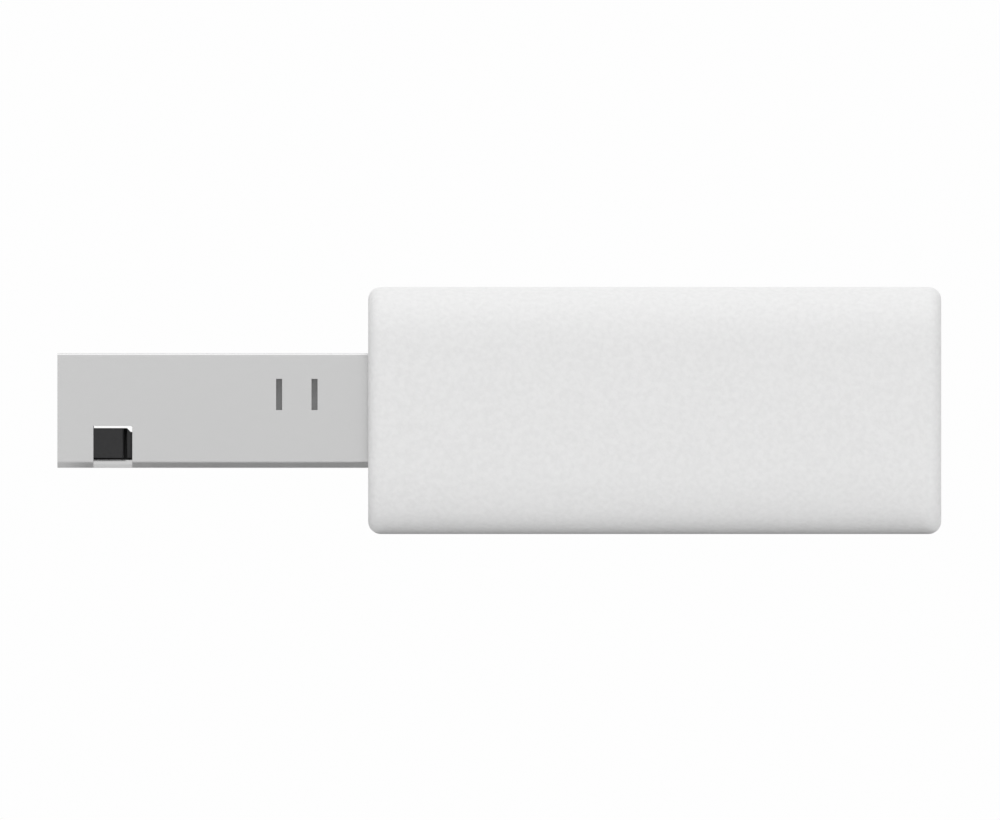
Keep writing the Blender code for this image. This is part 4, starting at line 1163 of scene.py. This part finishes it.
def plungerOutline(foot):
    make = switchMake
    low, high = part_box("switch_plunger")
    bottom, top = low.z - foot.z, high.z - foot.z
    shoulder, radius, edge = bottom + make["flange"], make["plungerRadius"], make["edge"]
    outline = [(0, top)] + arc((radius - edge, top - edge), edge, 90, 0, 3) + [(radius, shoulder)]
    outline += [(make["flangeRadius"], shoulder), (make["flangeRadius"], bottom), (0, bottom)]
    return spun(outline, 64)


makeSwitch()
print("switch made")


# floor, light and camera

studio = dict(floor=4.0, glow=0.14, softbox=1.2, frontAway=0.6, frontPower=3.32,
              overLength=1.6, overAway=1.2, overPower=8.4, ambient=0.27, backdrop=0.99)
shot = dict(width=39.26 * mm, away=0.2, right=0.027 * mm, up=0.02 * mm)


def makeFloor():
    bm = bmesh.new()
    bmesh.ops.create_grid(bm, x_segments=1, y_segments=1, size=studio["floor"] / 2)
    mesh = meshOf(bm, "floor")
    made, tree, shader = startFinish("pale floor", Roughness=0.9, Emission_Strength=studio["glow"])
    shader.inputs["Emission Color"].default_value = (1, 1, 1, 1)
    cloud = noiseOn(tree, 0.02, 2.0)
    tree.links.new(tinted(tree, spread(tree, cloud, 0, 1), (0.75,) * 3, (0.77,) * 3),
                   shader.inputs["Base Color"])
    mesh.materials.append(made)
    floor = placed("floor", mesh)
    floor.location.z = cadLow.z


def makeSoftbox(name, place, facing, power, length):
    light = bpy.data.lights.new(name, "AREA")
    light.shape = "RECTANGLE"
    light.size, light.size_y = length, studio["softbox"]
    light.energy = power
    obj = placed(name, light)
    obj.location = place
    obj.rotation_euler = Vector(facing).to_track_quat("-Z", "Y").to_euler()
    obj.visible_camera = False


def makeSky():
    world = bpy.data.worlds.new("studio")
    bpy.context.scene.world = world
    world.use_nodes = True
    tree = world.node_tree
    shader = tree.nodes["Background"]
    rays = addNode(tree, "ShaderNodeLightPath")
    level = addNode(tree, "ShaderNodeMapRange", To_Min=studio["ambient"], To_Max=studio["backdrop"])
    tree.links.new(rays.outputs["Is Camera Ray"], level.inputs["Value"])
    tree.links.new(level.outputs["Result"], shader.inputs["Strength"])
    shader.inputs["Color"].default_value = (1, 1, 1, 1)


def makeCamera():
    centre = (cadLow + cadHigh) / 2
    data = bpy.data.cameras.new("camera")
    data.type = "ORTHO"
    data.ortho_scale = shot["width"]
    data.clip_start, data.clip_end = 0.001, 10
    obj = placed("camera", data)
    obj.location = centre + Vector((shot["right"], -shot["away"], shot["up"]))
    obj.rotation_euler = (math.pi / 2, 0, 0)
    bpy.context.scene.camera = obj


makeFloor()
for word, side in (("front", -1), ("back", 1)):  # equal ones, so that each side looks alike
    place = (0, side * studio["frontAway"], studio["softbox"] / 2 + cadLow.z)
    makeSoftbox(word + " softbox", place, (0, -side, 0), studio["frontPower"], studio["softbox"])
makeSoftbox("overhead softbox", (0, 0, studio["overAway"]), (0, 0, -1), studio["overPower"],
            studio["overLength"])
makeSky()
makeCamera()
bpy.context.scene.view_settings.view_transform = "Standard"
print("studio made")
